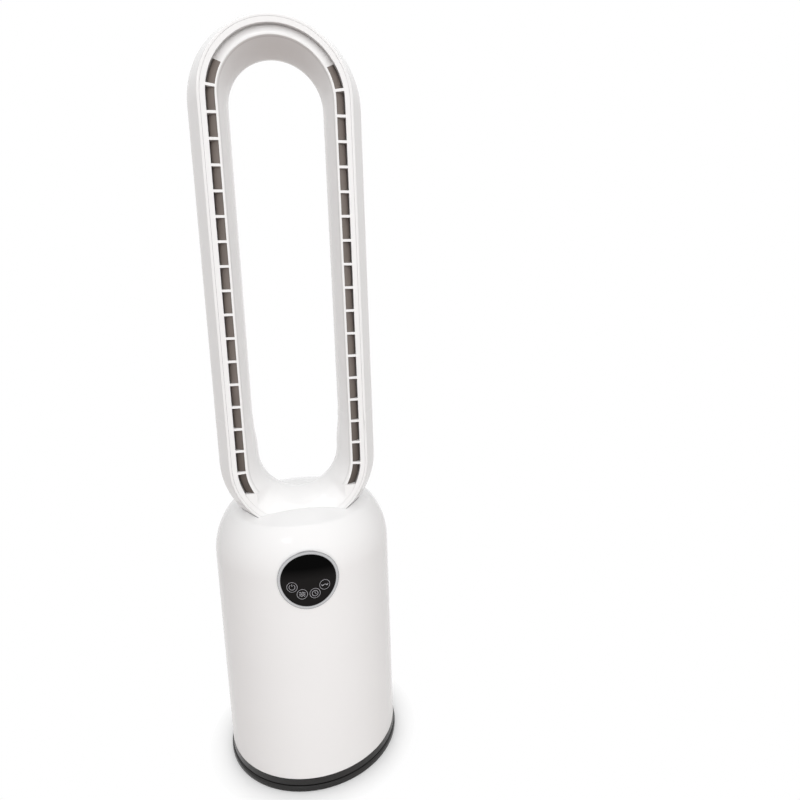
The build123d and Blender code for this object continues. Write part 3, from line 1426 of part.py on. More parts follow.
# Inlet socket in the rear shell, open to the rear, with two pins.
inlet_front_y = math.sqrt(body_radius**2 - (inlet_width / 2 + inlet_wall) ** 2)
with BuildPart() as power_inlet:
    with BuildSketch(Plane.XZ.offset(-inlet_front_y + inlet_depth)):
        with Locations((0, inlet_z)):
            Rectangle(inlet_width + 2 * inlet_wall, inlet_height + 2 * inlet_wall)
    extrude(amount=-inlet_depth)
    with BuildSketch(Plane.XZ.offset(-inlet_front_y)):
        with Locations((0, inlet_z)):
            RectangleRounded(inlet_width - 2, inlet_height - 1, 4.0)
    extrude(amount=inlet_depth - 4.0, mode=Mode.SUBTRACT)
    with BuildSketch(Plane.XZ.offset(-inlet_front_y + inlet_depth)):
        with Locations((0, inlet_z)):
            with GridLocations(inlet_pin_pitch, 1, 2, 1):
                Circle(inlet_pin_radius)
    extrude(amount=-inlet_depth, mode=Mode.SUBTRACT)
power_inlet.part.label = "power_inlet"
export_step(power_inlet.part, "parts/power_inlet.step")

with BuildPart() as inlet_pins:
    with BuildSketch(Plane.XZ.offset(-inlet_front_y + inlet_depth)):
        with Locations((0, inlet_z)):
            with GridLocations(inlet_pin_pitch, 1, 2, 1):
                Circle(inlet_pin_radius)
    extrude(amount=-inlet_depth + 6.0)
inlet_pins.part.label = "inlet_pins"
export_step(inlet_pins.part, "parts/inlet_pins.step")
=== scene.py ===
"""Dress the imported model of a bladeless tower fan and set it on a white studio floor.

Sizes are in metres, in the model's own frame: the fan stands on z = 0 round the Z axis
and blows towards -Y. Each operator finishes one group of pieces or makes new ones.
"""

import math

import bpy
import numpy as np
from bpy.props import FloatProperty, FloatVectorProperty, PointerProperty
from mathutils import Matrix, Vector


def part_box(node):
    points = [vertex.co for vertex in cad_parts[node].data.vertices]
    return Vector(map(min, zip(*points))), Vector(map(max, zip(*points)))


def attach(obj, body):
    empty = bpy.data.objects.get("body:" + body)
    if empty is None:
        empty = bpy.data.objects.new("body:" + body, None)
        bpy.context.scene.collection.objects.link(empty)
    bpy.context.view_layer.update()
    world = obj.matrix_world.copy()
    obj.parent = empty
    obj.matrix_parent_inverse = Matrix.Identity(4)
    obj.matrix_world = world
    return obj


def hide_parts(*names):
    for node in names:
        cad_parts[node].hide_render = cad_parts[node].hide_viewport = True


bl_info = {
    "name": "Bladeless tower fan",
    "version": (1, 0, 0),
    "blender": (4, 5, 0),
    "location": "3D View > Sidebar > Fan",
    "description": "Finishes the surfaces of a bladeless tower fan and sets up its studio",
    "category": "Object",
}

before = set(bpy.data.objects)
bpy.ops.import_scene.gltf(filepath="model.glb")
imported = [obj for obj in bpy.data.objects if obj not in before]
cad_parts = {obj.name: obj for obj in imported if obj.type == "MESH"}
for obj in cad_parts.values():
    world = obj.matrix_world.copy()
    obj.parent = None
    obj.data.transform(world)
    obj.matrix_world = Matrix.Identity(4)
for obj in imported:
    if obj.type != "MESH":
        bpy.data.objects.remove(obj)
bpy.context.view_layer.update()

SWING_BODY = "body"

# Tints that a tone is multiplied by where shade is painted on it.
SLOT_SHADE_TINT = (0.25, 0.23, 0.22)
GUIDE_SHADE_TINT = (0.25, 0.22, 0.19)
# Tint and share of the width of the painted shade along the silver ring's edges.
RIM_SHADE_TINT = (0.2, 0.2, 0.2)
RIM_SHARE = 0.25            # part of the silver ring's width that darkens along each edge

# Moulded materials of the smaller pieces: colour, shade, lowest and highest roughness, height
# of the ripple in metres and ripples per metre.
MOULDINGS = {
    "Black rubber": ((0.03, 0.03, 0.03), (0.045, 0.044, 0.042), (0.65, 0.8), 0.0001, 900.0),
    "Gear polymer": ((0.78, 0.77, 0.72), (0.72, 0.71, 0.66), (0.35, 0.45), 0.00003, 700.0),
    "Grey polymer": ((0.10, 0.105, 0.11), (0.085, 0.09, 0.095), (0.42, 0.55), 0.00005, 1100.0),
    "Black polymer": ((0.02, 0.02, 0.021), (0.03, 0.03, 0.031), (0.4, 0.52), 0.00005, 1100.0),
}

# Lamps: setting of the power, width and height, place, target, and whether reflections show it.
LAMPS = {
    "Top lamp": ("top_power", (0.9, 0.9), (-0.25, -0.1, 2.3), (0.0, 0.0, 0.3), True),
    "Back lamp": ("back_power", (1.6, 1.6), (0.0, 2.2, 1.1), (0.0, 0.0, 0.45), False),
    "Glint lamp": ("glint_power", (0.3, 0.17), (-0.75, -1.57, 1.456), (-0.02, -0.096, 0.324), True),
}


# ---------------------------------------------------------------- settings


def colour_setting(name, description, default):
    """A colour that a user can change, with red, green and blue from 0 to 1."""
    return FloatVectorProperty(name=name, description=description, default=default,
                               subtype="COLOR", min=0.0, max=1.0, size=3)


def length_setting(name, description, default):
    """A length in metres that a user can change."""
    return FloatProperty(name=name, description=description, default=default, min=0.0,
                         precision=5, unit="LENGTH")


def angle_setting(name, description, default):
    """An angle that a user can change, given here in degrees."""
    return FloatProperty(name=name, description=description, default=math.radians(default),
                         unit="ROTATION")


def factor_setting(name, description, default):
    """A share from 0 to 1 that a user can change."""
    return FloatProperty(name=name, description=description, default=default, min=0.0, max=1.0,
                         subtype="FACTOR")


class ShellFinish(bpy.types.PropertyGroup):
    """White gloss plastic of the body and the loop."""

    colour: colour_setting("Colour", "Colour of the white plastic", (0.89, 0.885, 0.885))
    shade: colour_setting("Shade", "Slightly darker white that drifts over the plastic",
                          (0.875, 0.87, 0.868))
    gloss_low: factor_setting("Lowest roughness", "Roughness where the plastic is smoothest", 0.09)
    gloss_high: factor_setting("Highest roughness", "Roughness where the plastic is dullest", 0.14)
    peel: length_setting("Ripple height", "Height of the faint ripple of the moulding", 0.00002)
    # Painted shade: the frame's white darkens with depth in the slot, from where the shade starts
    # back to where it is full.
    painted_shade_start: length_setting("Slot front", "Where the painted slot shade starts, in front of the axis", 0.0594)
    painted_shade_full: length_setting("Slot back", "Where the painted slot shade is full, in front of the axis", 0.0562)
    painted_slot_shade: factor_setting("Slot shade", "How much shade is painted on the frame down in the slot", 0.32)


class FootFinish(bpy.types.PropertyGroup):
    """Near-black plastic of the two tiers of the foot."""

    sheen: factor_setting("Sheen", "Strength of the foot's reflections", 0.36)
    colour: colour_setting("Colour", "Colour of the foot", (0.008, 0.0075, 0.0075))
    shade: colour_setting("Shade", "Paler tone that drifts over the foot", (0.014, 0.013, 0.0125))
    gloss_low: factor_setting("Lowest roughness", "Roughness where the foot is smoothest", 0.2)
    gloss_high: factor_setting("Highest roughness", "Roughness where the foot is dullest", 0.3)


class SlotFinish(bpy.types.PropertyGroup):
    """Guides behind the vents: their colours, their section and their path along the loop."""

    colour: colour_setting("Colour", "Colour of the guides", (0.195, 0.165, 0.148))
    shade: colour_setting("Shade", "Darker tone of the guides", (0.165, 0.138, 0.122))
    # Painted shade: the guides darken towards their low ends, where less light comes into the slot.
    low_shade: factor_setting("Low shade", "How much shade is painted on the guides at their low ends", 0.6)
    low_shade_from: length_setting("Low shade from", "Height where the painted shade on the guides starts", 0.50)
    inner_edge: length_setting("Inner edge", "Inner edge, from the middle of the bends", 0.0626)
    outer_edge: length_setting("Outer edge", "Outer edge, from the middle of the bends", 0.0714)
    face_radius: length_setting("Face radius", "Arc of the guide's curved face", 0.020667)
    face_middle: length_setting("Face middle", "Middle of that arc, from the middle of the bends",
                                0.056369)
    face_depth: length_setting("Face depth", "Middle of that arc, in front of the axis", 0.038715)
    thickness: length_setting("Thickness", "Thickness of a guide", 0.0014)
    low_end: length_setting("Low end", "Height of the level low ends", 0.3686)
    low_bend: length_setting("Low bend", "Height of the middle of the low bend", 0.3994)
    high_bend: length_setting("High bend", "Height of the middle of the high bend", 0.7986)
    high_turn: angle_setting("High turn", "How far the guides follow the high bend", 30.71)


class DisplayFinish(bpy.types.PropertyGroup):
    """Round display: silver ring, black window and printed touch keys."""

    ring_colour: colour_setting("Ring colour", "Colour of the silver ring", (0.62, 0.62, 0.63))
    ring_shade: colour_setting("Ring shade", "Darker tone of the ring's turned lines",
                               (0.46, 0.46, 0.47))
    # Painted shade along the ring's edges.
    painted_rim_shade: factor_setting("Rim shade", "How much shade is painted along the ring's edges", 0.5)
    # Painted reflection: below its middle the window is lighter than at its top, and the difference
    # fades out in the height given below.
    glass_reflection_colour: colour_setting("Window with painted reflection", "Colour of the window below its middle, with a painted reflection in it",
                                 (0.013, 0.012, 0.012))
    glass_shade: colour_setting("Window top", "Colour of the window at its top",
                                (0.001, 0.001, 0.001))
    reflection_fade: length_setting("Reflection fade", "Height above the middle in which the painted reflection fades out", 0.014)
    glass_sheen: factor_setting("Window sheen", "Strength of the window's reflections", 0.03)
    mark_colour: colour_setting("Print colour", "Colour of the printed signs", (0.52, 0.52, 0.55))
    mark_shade: colour_setting("Print shade", "Thinner ink of the printed signs",
                               (0.36, 0.36, 0.39))
    key_circle: length_setting("Key circle", "Radius of the circle that the keys lie on", 0.0221)
    key_rise: length_setting("Key rise", "Middle of that circle above the window's middle", 0.0044)
    key_radius: length_setting("Key radius", "Radius of the ring round each key", 0.0059)
    key_step: angle_setting("Key step", "Angle from one key to the next", 38.1)
    key_tilt: angle_setting("Key tilt", "Turn of the row of keys from straight down", -2.2)
    line_width: length_setting("Line width", "Width of the printed rings", 0.0004)
    stroke_width: length_setting("Stroke width", "Width of the printed signs", 0.0005)
    print_lift: length_setting("Print height", "Height of the ink above the window", 0.00004)


class StudioSettings(bpy.types.PropertyGroup):
    """Floor, lamps and camera."""

    camera_place: FloatVectorProperty(name="Camera place", description="Where the camera stands",
                                      default=(-0.016953, -0.719505, 0.596638), subtype="XYZ",
                                      unit="LENGTH")
    camera_heading: angle_setting("Camera heading", "Turn of the camera from +Y towards +X", 11.936)
    camera_pitch: angle_setting("Camera pitch", "How far the camera looks down", 10.822)
    camera_roll: angle_setting("Camera roll", "How far the camera leans over", 1.642)
    camera_lens: FloatProperty(name="Focal length", description="Focal length on a 36 mm sensor",
                               default=25.763, unit="CAMERA")
    floor_radius: length_setting("Floor radius", "Radius of the round floor", 4.0)
    shadow_start: length_setting("Shadow start", "Where the floor starts to fade to white", 0.105)
    shadow_radius: length_setting("Shadow radius", "Where the floor has faded to white", 0.142)
    floor_colour: colour_setting("Floor colour", "Colour of the floor near the fan",
                                 (0.96, 0.96, 0.96))
    floor_shade: colour_setting("Floor shade", "Darker tone that drifts over the floor",
                                (0.93, 0.93, 0.93))
    floor_bounce: colour_setting("Floor bounce", "Colour of the floor as it lights the fan",
                                 (0.36, 0.30, 0.275))
    room_light: FloatProperty(name="Room light", description="Brightness of the room's even light",
                              default=0.32, min=0.0)
    room_key: FloatProperty(name="Room key", description="How much brighter its bright side is",
                            default=2.15, min=0.0)
    room_aim: FloatVectorProperty(name="Room aim", description="Where the room's bright side is",
                                  default=(0.06, -0.90, 0.36), subtype="XYZ")
    top_power: FloatProperty(name="Top lamp", description="Power of the soft lamp overhead",
                             default=3.0, min=0.0, unit="POWER")
    back_power: FloatProperty(name="Back lamp", description="Power of the soft lamp behind",
                              default=28.0, min=0.0, unit="POWER")
    glint_power: FloatProperty(name="Glint lamp", description="Power of the small lamp in front",
                               default=1.1, min=0.0, unit="POWER")


# ---------------------------------------------------------------- node helpers


def add_node(tree, kind, **settings):
    """A new node of a kind, with its plain settings."""
    node = tree.nodes.new(kind)
    for name, value in settings.items():
        setattr(node, name, value)
    return node


def new_material(name):
    """An empty material with a Principled shader wired to its output."""
    material = bpy.data.materials.new(name)
    material.use_nodes = True
    tree = material.node_tree
    tree.nodes.clear()
    output = add_node(tree, "ShaderNodeOutputMaterial")
    shader = add_node(tree, "ShaderNodeBsdfPrincipled")
    tree.links.new(shader.outputs["BSDF"], output.inputs["Surface"])
    return material, tree, shader


def new_group(name, inputs, outputs):
    """An empty shader node group: inputs are (name, kind, default), outputs are names of values."""
    group = bpy.data.node_groups.new(name, "ShaderNodeTree")
    for label, kind, default in inputs:
        socket = group.interface.new_socket(label, in_out="INPUT", socket_type=kind)
        if default is not None:
            socket.default_value = default
    for label in outputs:
        group.interface.new_socket(label, in_out="OUTPUT", socket_type="NodeSocketFloat")
    return group, add_node(group, "NodeGroupInput"), add_node(group, "NodeGroupOutput")


def place_group(tree, group, vector, **values):
    """A copy of a node group in a material, fed with a vector and with its own values."""
    node = add_node(tree, "ShaderNodeGroup", node_tree=group)
    tree.links.new(vector, node.inputs["Vector"])
    for name, value in values.items():
        node.inputs[name].default_value = value
    return node


def math_node(tree, operation, first, second=0.0):
    """A Math node: each operand is a socket or a plain number."""
    node = add_node(tree, "ShaderNodeMath", operation=operation)
    for socket, value in zip(node.inputs, (first, second)):
        if isinstance(value, bpy.types.NodeSocket):
            tree.links.new(value, socket)
        else:
            socket.default_value = value
    return node.outputs["Value"]


def noise(tree, vector, scale, detail, roughness=0.5):
    """A noise from 0 to 1, whose scale is a socket or a number of cells per metre."""
    node = add_node(tree, "ShaderNodeTexNoise")
    tree.links.new(vector, node.inputs["Vector"])
    node.inputs["Detail"].default_value = detail
    node.inputs["Roughness"].default_value = roughness
    if isinstance(scale, bpy.types.NodeSocket):
        tree.links.new(scale, node.inputs["Scale"])
    else:
        node.inputs["Scale"].default_value = scale
    return node.outputs["Fac"]


def spread(tree, value, low, high, to_low=0.0, to_high=1.0):
    """Stretch a value from one range to another, held at both ends."""
    node = add_node(tree, "ShaderNodeMapRange")
    tree.links.new(value, node.inputs["Value"])
    ends = {"From Min": low, "From Max": high, "To Min": to_low, "To Max": to_high}
    for name, number in ends.items():
        node.inputs[name].default_value = number
    return node.outputs["Result"]


def mix_colours(tree, factor, first, second):
    """A colour between two plain colours, by a factor that changes over the surface."""
    node = add_node(tree, "ShaderNodeMix", data_type="RGBA")
    tree.links.new(factor, node.inputs["Factor"])
    node.inputs[6].default_value = (*first, 1.0)
    node.inputs[7].default_value = (*second, 1.0)
    return node.outputs[2]


def darken(tree, tone, factor, tint):
    """A tone multiplied by a tint, as far as a factor from 0 to 1 says."""
    node = add_node(tree, "ShaderNodeMix", data_type="RGBA", blend_type="MULTIPLY")
    tree.links.new(factor, node.inputs["Factor"])
    tree.links.new(tone, node.inputs[6])
    node.inputs[7].default_value = (*tint, 1.0)
    return node.outputs[2]


def place_coordinates(tree):
    """The place of each point in the model's frame."""
    return add_node(tree, "ShaderNodeTexCoord").outputs["Object"]


def split(tree, vector):
    """The X, Y and Z of a vector."""
    node = add_node(tree, "ShaderNodeSeparateXYZ")
    tree.links.new(vector, node.inputs["Vector"])
    return node.outputs


def bump(tree, height, distance, shader):
    """Tilt the surface by a height from 0 to 1 that stands for a distance in metres."""
    node = add_node(tree, "ShaderNodeBump")
    node.inputs["Strength"].default_value = 1.0
    node.inputs["Distance"].default_value = distance
    tree.links.new(height, node.inputs["Height"])
    tree.links.new(node.outputs["Normal"], shader.inputs["Normal"])


# ---------------------------------------------------------------- shared effects


def moulding_group():
    """Moulded plastic: a fine ripple and a slow drift from flow and cooling."""
    group, source, sink = new_group(
        "Moulded plastic",
        [("Vector", "NodeSocketVector", None), ("Ripple", "NodeSocketFloat", 260.0),
         ("Drift", "NodeSocketFloat", 6.0)],
        ["Ripple", "Drift"])
    ripple = noise(group, source.outputs["Vector"], source.outputs["Ripple"], 2.0)
    drift = noise(group, source.outputs["Vector"], source.outputs["Drift"], 3.0, 0.55)
    group.links.new(ripple, sink.inputs["Ripple"])
    group.links.new(spread(group, drift, 0.3, 0.7), sink.inputs["Drift"])
    return group


def turning_group():
    """Turned metal: thin rings round a centre line, from noise along the radius in X and Z."""
    group, source, sink = new_group(
        "Turned rings",
        [("Vector", "NodeSocketVector", None), ("Lines", "NodeSocketFloat", 2500.0)],
        ["Lines", "Radius"])
    parts = split(group, source.outputs["Vector"])
    across = math_node(group, "MULTIPLY", parts["X"], parts["X"])
    up = math_node(group, "MULTIPLY", parts["Z"], parts["Z"])
    radius = math_node(group, "SQRT", math_node(group, "ADD", across, up))
    rings = add_node(group, "ShaderNodeTexNoise", noise_dimensions="1D")
    rings.inputs["Detail"].default_value = 3.0
    group.links.new(radius, rings.inputs["W"])
    group.links.new(source.outputs["Lines"], rings.inputs["Scale"])
    group.links.new(spread(group, rings.outputs["Fac"], 0.3, 0.7), sink.inputs["Lines"])
    group.links.new(radius, sink.inputs["Radius"])
    return group


def drawing_group():
    """Drawn or rolled metal: streaks along one axis, with faint blotches of zinc."""
    group, source, sink = new_group(
        "Drawn metal",
        [("Vector", "NodeSocketVector", None), ("Streaks", "NodeSocketFloat", 30.0)],
        ["Streaks", "Blotches"])
    stretch = add_node(group, "ShaderNodeMapping")
    stretch.inputs["Scale"].default_value = (40.0, 40.0, 1.0)
    group.links.new(source.outputs["Vector"], stretch.inputs["Vector"])
    streaks = noise(group, stretch.outputs["Vector"], source.outputs["Streaks"], 3.0)
    blotches = add_node(group, "ShaderNodeTexVoronoi", feature="SMOOTH_F1")
    blotches.inputs["Scale"].default_value = 140.0
    group.links.new(source.outputs["Vector"], blotches.inputs["Vector"])
    group.links.new(spread(group, streaks, 0.3, 0.7), sink.inputs["Streaks"])
    group.links.new(blotches.outputs["Distance"], sink.inputs["Blotches"])
    return group


def mesh_group():
    """Woven filter mesh: threads round the axis and up it, from sines of angle and height."""
    group, source, sink = new_group(
        "Filter mesh",
        [("Vector", "NodeSocketVector", None), ("Radius", "NodeSocketFloat", 0.107),
         ("Pitch", "NodeSocketFloat", 0.0012)],
        ["Threads"])
    parts = split(group, source.outputs["Vector"])
    angle = math_node(group, "ARCTAN2", parts["X"], parts["Y"])
    round_axis = math_node(group, "MULTIPLY", angle, source.outputs["Radius"])
    threads = []
    for length in (round_axis, parts["Z"]):
        turns = math_node(group, "DIVIDE", length, source.outputs["Pitch"])
        threads.append(math_node(group, "SINE", math_node(group, "MULTIPLY", turns, 2 * math.pi)))
    highest = math_node(group, "MAXIMUM", *threads)
    group.links.new(spread(group, highest, -0.2, 0.9), sink.inputs["Threads"])
    return group


# ---------------------------------------------------------------- materials


def moulded_material(name, groups, colour, shade, gloss, ripple_height, ripple=260.0, drift=6.0,
                     sheen=0.5, shading=None):
    """Plastic with a drifting tone and roughness and a faint ripple. Shading, where it is given,
    is a function of the node tree and the tone, and gives the tone that is shown."""
    material, tree, shader = new_material(name)
    surface = place_group(tree, groups["moulding"], place_coordinates(tree),
                          Ripple=ripple, Drift=drift)
    slow = surface.outputs["Drift"]
    tone = mix_colours(tree, slow, colour, shade)
    tree.links.new(shading(tree, tone) if shading else tone, shader.inputs["Base Color"])
    tree.links.new(spread(tree, slow, 0.0, 1.0, *gloss), shader.inputs["Roughness"])
    shader.inputs["Specular IOR Level"].default_value = sheen
    bump(tree, surface.outputs["Ripple"], ripple_height, shader)
    return material


def white_plastic(name, groups, finish, shading=None):
    """White gloss plastic of the shells."""
    return moulded_material(name, groups, finish.colour, finish.shade,
                            (finish.gloss_low, finish.gloss_high), finish.peel, shading=shading)


def frame_plastic(groups, finish):
    """White plastic of the loop's frame, with painted shade that darkens it with the depth of the
    slot, where less light reaches.
    """
    def shade_painted_in_slot(tree, tone):
        depth = split(tree, place_coordinates(tree))["Y"]
        # Painted shade, growing with depth in the slot.
        amount = spread(tree, depth, -finish.painted_shade_start, -finish.painted_shade_full, 0.0, finish.painted_slot_shade)
        return darken(tree, tone, amount, SLOT_SHADE_TINT)

    return white_plastic("White frame plastic", groups, finish, shade_painted_in_slot)


def guide_plastic(groups, finish):
    """Dark matte plastic with a fine etched grain, and painted shade that darkens it towards the low
    ends, where less light comes into the slot.
    """
    def shade_painted_low(tree, tone):
        height = split(tree, place_coordinates(tree))["Z"]
        # Painted shade, growing towards the low ends.
        amount = spread(tree, height, finish.low_end, finish.low_shade_from, finish.low_shade, 0.0)
        return darken(tree, tone, amount, GUIDE_SHADE_TINT)

    return moulded_material("Dark guide plastic", groups, finish.colour, finish.shade,
                            (0.5, 0.62), 0.00004, 1500.0, 25.0, shading=shade_painted_low)


def turned_silver(groups, finish, centre, inner, outer):
    """Silver ring with thin turned lines round the display's centre, and painted shade that darkens
    it along its edges.
    """
    material, tree, shader = new_material("Turned silver")
    shift = add_node(tree, "ShaderNodeMapping")
    shift.inputs["Location"].default_value = [-part for part in centre]
    tree.links.new(place_coordinates(tree), shift.inputs["Vector"])
    turning = place_group(tree, groups["turning"], shift.outputs["Vector"])
    rings = turning.outputs["Lines"]
    # Painted shade along the inner and outer edges of the ring.
    rim = RIM_SHARE * (outer - inner)
    inside = spread(tree, turning.outputs["Radius"], inner, inner + rim, finish.painted_rim_shade, 0.0)
    outside = spread(tree, turning.outputs["Radius"], outer - rim, outer, 0.0, finish.painted_rim_shade)
    tone = mix_colours(tree, rings, finish.ring_colour, finish.ring_shade)
    tone = darken(tree, tone, math_node(tree, "ADD", inside, outside), RIM_SHADE_TINT)
    tree.links.new(tone, shader.inputs["Base Color"])
    tree.links.new(spread(tree, rings, 0.0, 1.0, 0.2, 0.34), shader.inputs["Roughness"])
    shader.inputs["Metallic"].default_value = 1.0
    bump(tree, rings, 0.000012, shader)
    return material


def black_window(groups, finish, middle):
    """Black gloss window with faint smears, and a painted reflection that lightens it below its
    middle height and fades out above it.
    """
    material, tree, shader = new_material("Black window")
    place = place_coordinates(tree)
    surface = place_group(tree, groups["moulding"], place, Ripple=90.0, Drift=40.0)
    smears = surface.outputs["Drift"]
    # Painted reflection, fading out above the window's middle.
    top_share = spread(tree, split(tree, place)["Z"], middle, middle + finish.reflection_fade)
    tree.links.new(mix_colours(tree, top_share, finish.glass_reflection_colour, finish.glass_shade),
                   shader.inputs["Base Color"])
    tree.links.new(spread(tree, smears, 0.0, 1.0, 0.03, 0.09), shader.inputs["Roughness"])
    shader.inputs["Specular IOR Level"].default_value = finish.glass_sheen
    bump(tree, surface.outputs["Ripple"], 0.000003, shader)
    return material


def screen_print(groups, finish):
    """Pale printed ink, a little uneven."""
    return moulded_material("Screen print", groups, finish.mark_colour, finish.mark_shade,
                            (0.35, 0.5), 0.000004, 3000.0, 900.0)


def drawn_steel(groups):
    """Zinc-plated steel with streaks and faint blotches."""
    material, tree, shader = new_material("Plated steel")
    metal = place_group(tree, groups["drawing"], place_coordinates(tree))
    zinc = mix_colours(tree, metal.outputs["Blotches"], (0.62, 0.63, 0.64), (0.50, 0.51, 0.53))
    tree.links.new(zinc, shader.inputs["Base Color"])
    tree.links.new(spread(tree, metal.outputs["Streaks"], 0.0, 1.0, 0.28, 0.45),
                   shader.inputs["Roughness"])
    shader.inputs["Metallic"].default_value = 1.0
    bump(tree, metal.outputs["Streaks"], 0.00001, shader)
    return material


def laminated_iron():
    """Stacked sheets of dark iron: thin level lines up the stack."""
    material, tree, shader = new_material("Laminated iron")
    place = place_coordinates(tree)
    sheets = add_node(tree, "ShaderNodeTexWave", bands_direction="Z")
    sheets.inputs["Scale"].default_value = 300.0
    sheets.inputs["Distortion"].default_value = 0.4
    tree.links.new(place, sheets.inputs["Vector"])
    lines = sheets.outputs["Fac"]
    tree.links.new(mix_colours(tree, lines, (0.10, 0.095, 0.09), (0.22, 0.21, 0.20)),
                   shader.inputs["Base Color"])
    tree.links.new(spread(tree, lines, 0.0, 1.0, 0.4, 0.6), shader.inputs["Roughness"])
    shader.inputs["Metallic"].default_value = 0.8
    bump(tree, lines, 0.00008, shader)
    return material


def circuit_board():
    """Green lacquered board with thin copper tracks under the lacquer."""
    material, tree, shader = new_material("Circuit board")
    place = place_coordinates(tree)
    tracks = add_node(tree, "ShaderNodeTexBrick")
    tracks.inputs["Scale"].default_value = 60.0
    tracks.inputs["Mortar Size"].default_value = 0.03
    tracks.inputs["Color1"].default_value = (0.015, 0.10, 0.05, 1.0)
    tracks.inputs["Color2"].default_value = (0.02, 0.13, 0.06, 1.0)
    tracks.inputs["Mortar"].default_value = (0.06, 0.24, 0.11, 1.0)
    turn = add_node(tree, "ShaderNodeMapping")
    turn.inputs["Rotation"].default_value = (math.radians(90), 0.0, 0.0)
    tree.links.new(place, turn.inputs["Vector"])
    tree.links.new(turn.outputs["Vector"], tracks.inputs["Vector"])
    tree.links.new(tracks.outputs["Color"], shader.inputs["Base Color"])
    tree.links.new(spread(tree, tracks.outputs["Fac"], 0.0, 1.0, 0.25, 0.4),
                   shader.inputs["Roughness"])
    bump(tree, tracks.outputs["Fac"], 0.00003, shader)
    return material


def filter_mesh(groups):
    """Grey woven mesh of the dust filter."""
    material, tree, shader = new_material("Filter mesh")
    threads = place_group(tree, groups["mesh"], place_coordinates(tree)).outputs["Threads"]
    tree.links.new(mix_colours(tree, threads, (0.02, 0.02, 0.022), (0.16, 0.165, 0.17)),
                   shader.inputs["Base Color"])
    tree.links.new(spread(tree, threads, 0.0, 1.0, 0.9, 0.6), shader.inputs["Roughness"])
    bump(tree, threads, 0.0003, shader)
    return material


def groups_in_use():
    """The shared node groups, each built once."""
    makers = {"moulding": ("Moulded plastic", moulding_group),
              "turning": ("Turned rings", turning_group),
              "drawing": ("Drawn metal", drawing_group),
              "mesh": ("Filter mesh", mesh_group)}
    return {key: bpy.data.node_groups.get(name) or make() for key, (name, make) in makers.items()}


def finish_nodes(material, *names):
    """Give a material to every slot of the named CAD nodes."""
    for name in names:
        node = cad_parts[name]
        if not node.material_slots:
            node.data.materials.append(material)
        for slot in node.material_slots:
            slot.material = material


def finish_mouldings(name, *nodes):
    """Give the named CAD nodes one of the moulded materials of the smaller pieces."""
    finish_nodes(moulded_material(name, groups_in_use(), *MOULDINGS[name]), *nodes)


# ---------------------------------------------------------------- slot guides


def guide_section(finish, count=9):
    """Outline of a guide across the slot, as distances from the middle of the bends and depths.
    The face is an arc, so its depth is the root of the radius squared less the distance squared,
    and the back is the same arc moved back by the thickness."""
    out = np.linspace(finish.inner_edge, finish.outer_edge, count)
    face = -finish.face_depth - np.sqrt(finish.face_radius ** 2 - (out - finish.face_middle) ** 2)
    return out, face, face + finish.thickness


def guide_path(finish, out):
    """Carry points along a limb: up the low bend, straight up and round the high bend. In a bend
    the place is the distance times the cosine and sine of the turn from the bend's middle."""
    drop = np.arcsin((finish.low_bend - finish.low_end) / out)
    low = -drop * np.linspace(1.0, 0.0, 12)[:, None]
    straight = np.linspace(finish.low_bend, finish.high_bend, 40)[1:, None] + 0.0 * out
    high = finish.high_turn * np.linspace(0.0, 1.0, 20)[1:, None] + 0.0 * out
    across = np.concatenate([out * np.cos(low), 0.0 * straight + out, out * np.cos(high)])
    up = np.concatenate([finish.low_bend + out * np.sin(low), straight,
                         finish.high_bend + out * np.sin(high)])
    return across, up


def guide_patches(finish, side):
    """Closed skin of one guide: the section carried along the path, and its two ends. The side
    is -1 for -X and 1 for +X, where the outline runs the other way so that it still faces out."""
    out, face, back = guide_section(finish)
    ring = np.concatenate([out, out[::-1]])
    depth = np.concatenate([face, back[::-1]])
    across, up = guide_path(finish, ring)
    skin = np.stack([side * across, depth + 0.0 * across, up], axis=-1).transpose(1, 0, 2)
    half = len(out)
    low = np.stack([skin[:half, 0], skin[half:, 0][::-1]])
    high = np.stack([skin[half:, -1][::-1], skin[:half, -1]])
    patches = [(skin, True), (low, False), (high, False)]
    return patches if side < 0 else [(grid[::-1], closed) for grid, closed in patches]


# ---------------------------------------------------------------- printed marks


def display_place():
    """The display's centre and the radius of its window, which follows the body's curve."""
    low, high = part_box("display_glass")
    return ((low.x + high.x) / 2, (low.y + high.y) / 2, (low.z + high.z) / 2), -low.y


def onto_window(across, up, lift):
    """Points of the flat drawing wrapped on the window: the angle about Z is the distance
    across divided by the radius, and the height is the distance up."""
    centre, radius = display_place()
    angle = across / radius
    reach = radius + lift
    return np.stack([centre[0] + reach * np.sin(angle), -reach * np.cos(angle), centre[2] + up],
                    axis=-1)


def grid_faces(rows, columns, closed):
    """Quads of a grid of points, closed on itself along the rows where asked."""
    row = np.arange(rows if closed else rows - 1)
    column = np.arange(columns - 1)
    first, second = np.meshgrid(row, column, indexing="ij")
    following = (first + 1) % rows
    corners = [first * columns + second, first * columns + second + 1,
               following * columns + second + 1, following * columns + second]
    return np.stack(corners, axis=-1).reshape(-1, 4)


def surface_object(name, patches, material):
    """One object from several grids of points: each patch is (points, closed)."""
    points, faces, start = [], [], 0
    for grid, closed in patches:
        rows, columns = grid.shape[:2]
        points.append(grid.reshape(-1, 3))
        faces.append(grid_faces(rows, columns, closed) + start)
        start += rows * columns
    mesh = bpy.data.meshes.new(name)
    mesh.from_pydata(np.concatenate(points).tolist(), [], np.concatenate(faces).tolist())
    mesh.materials.append(material)
    mesh.shade_smooth()
    piece = bpy.data.objects.new(name, mesh)
    bpy.context.scene.collection.objects.link(piece)
    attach(piece, SWING_BODY)
    return piece


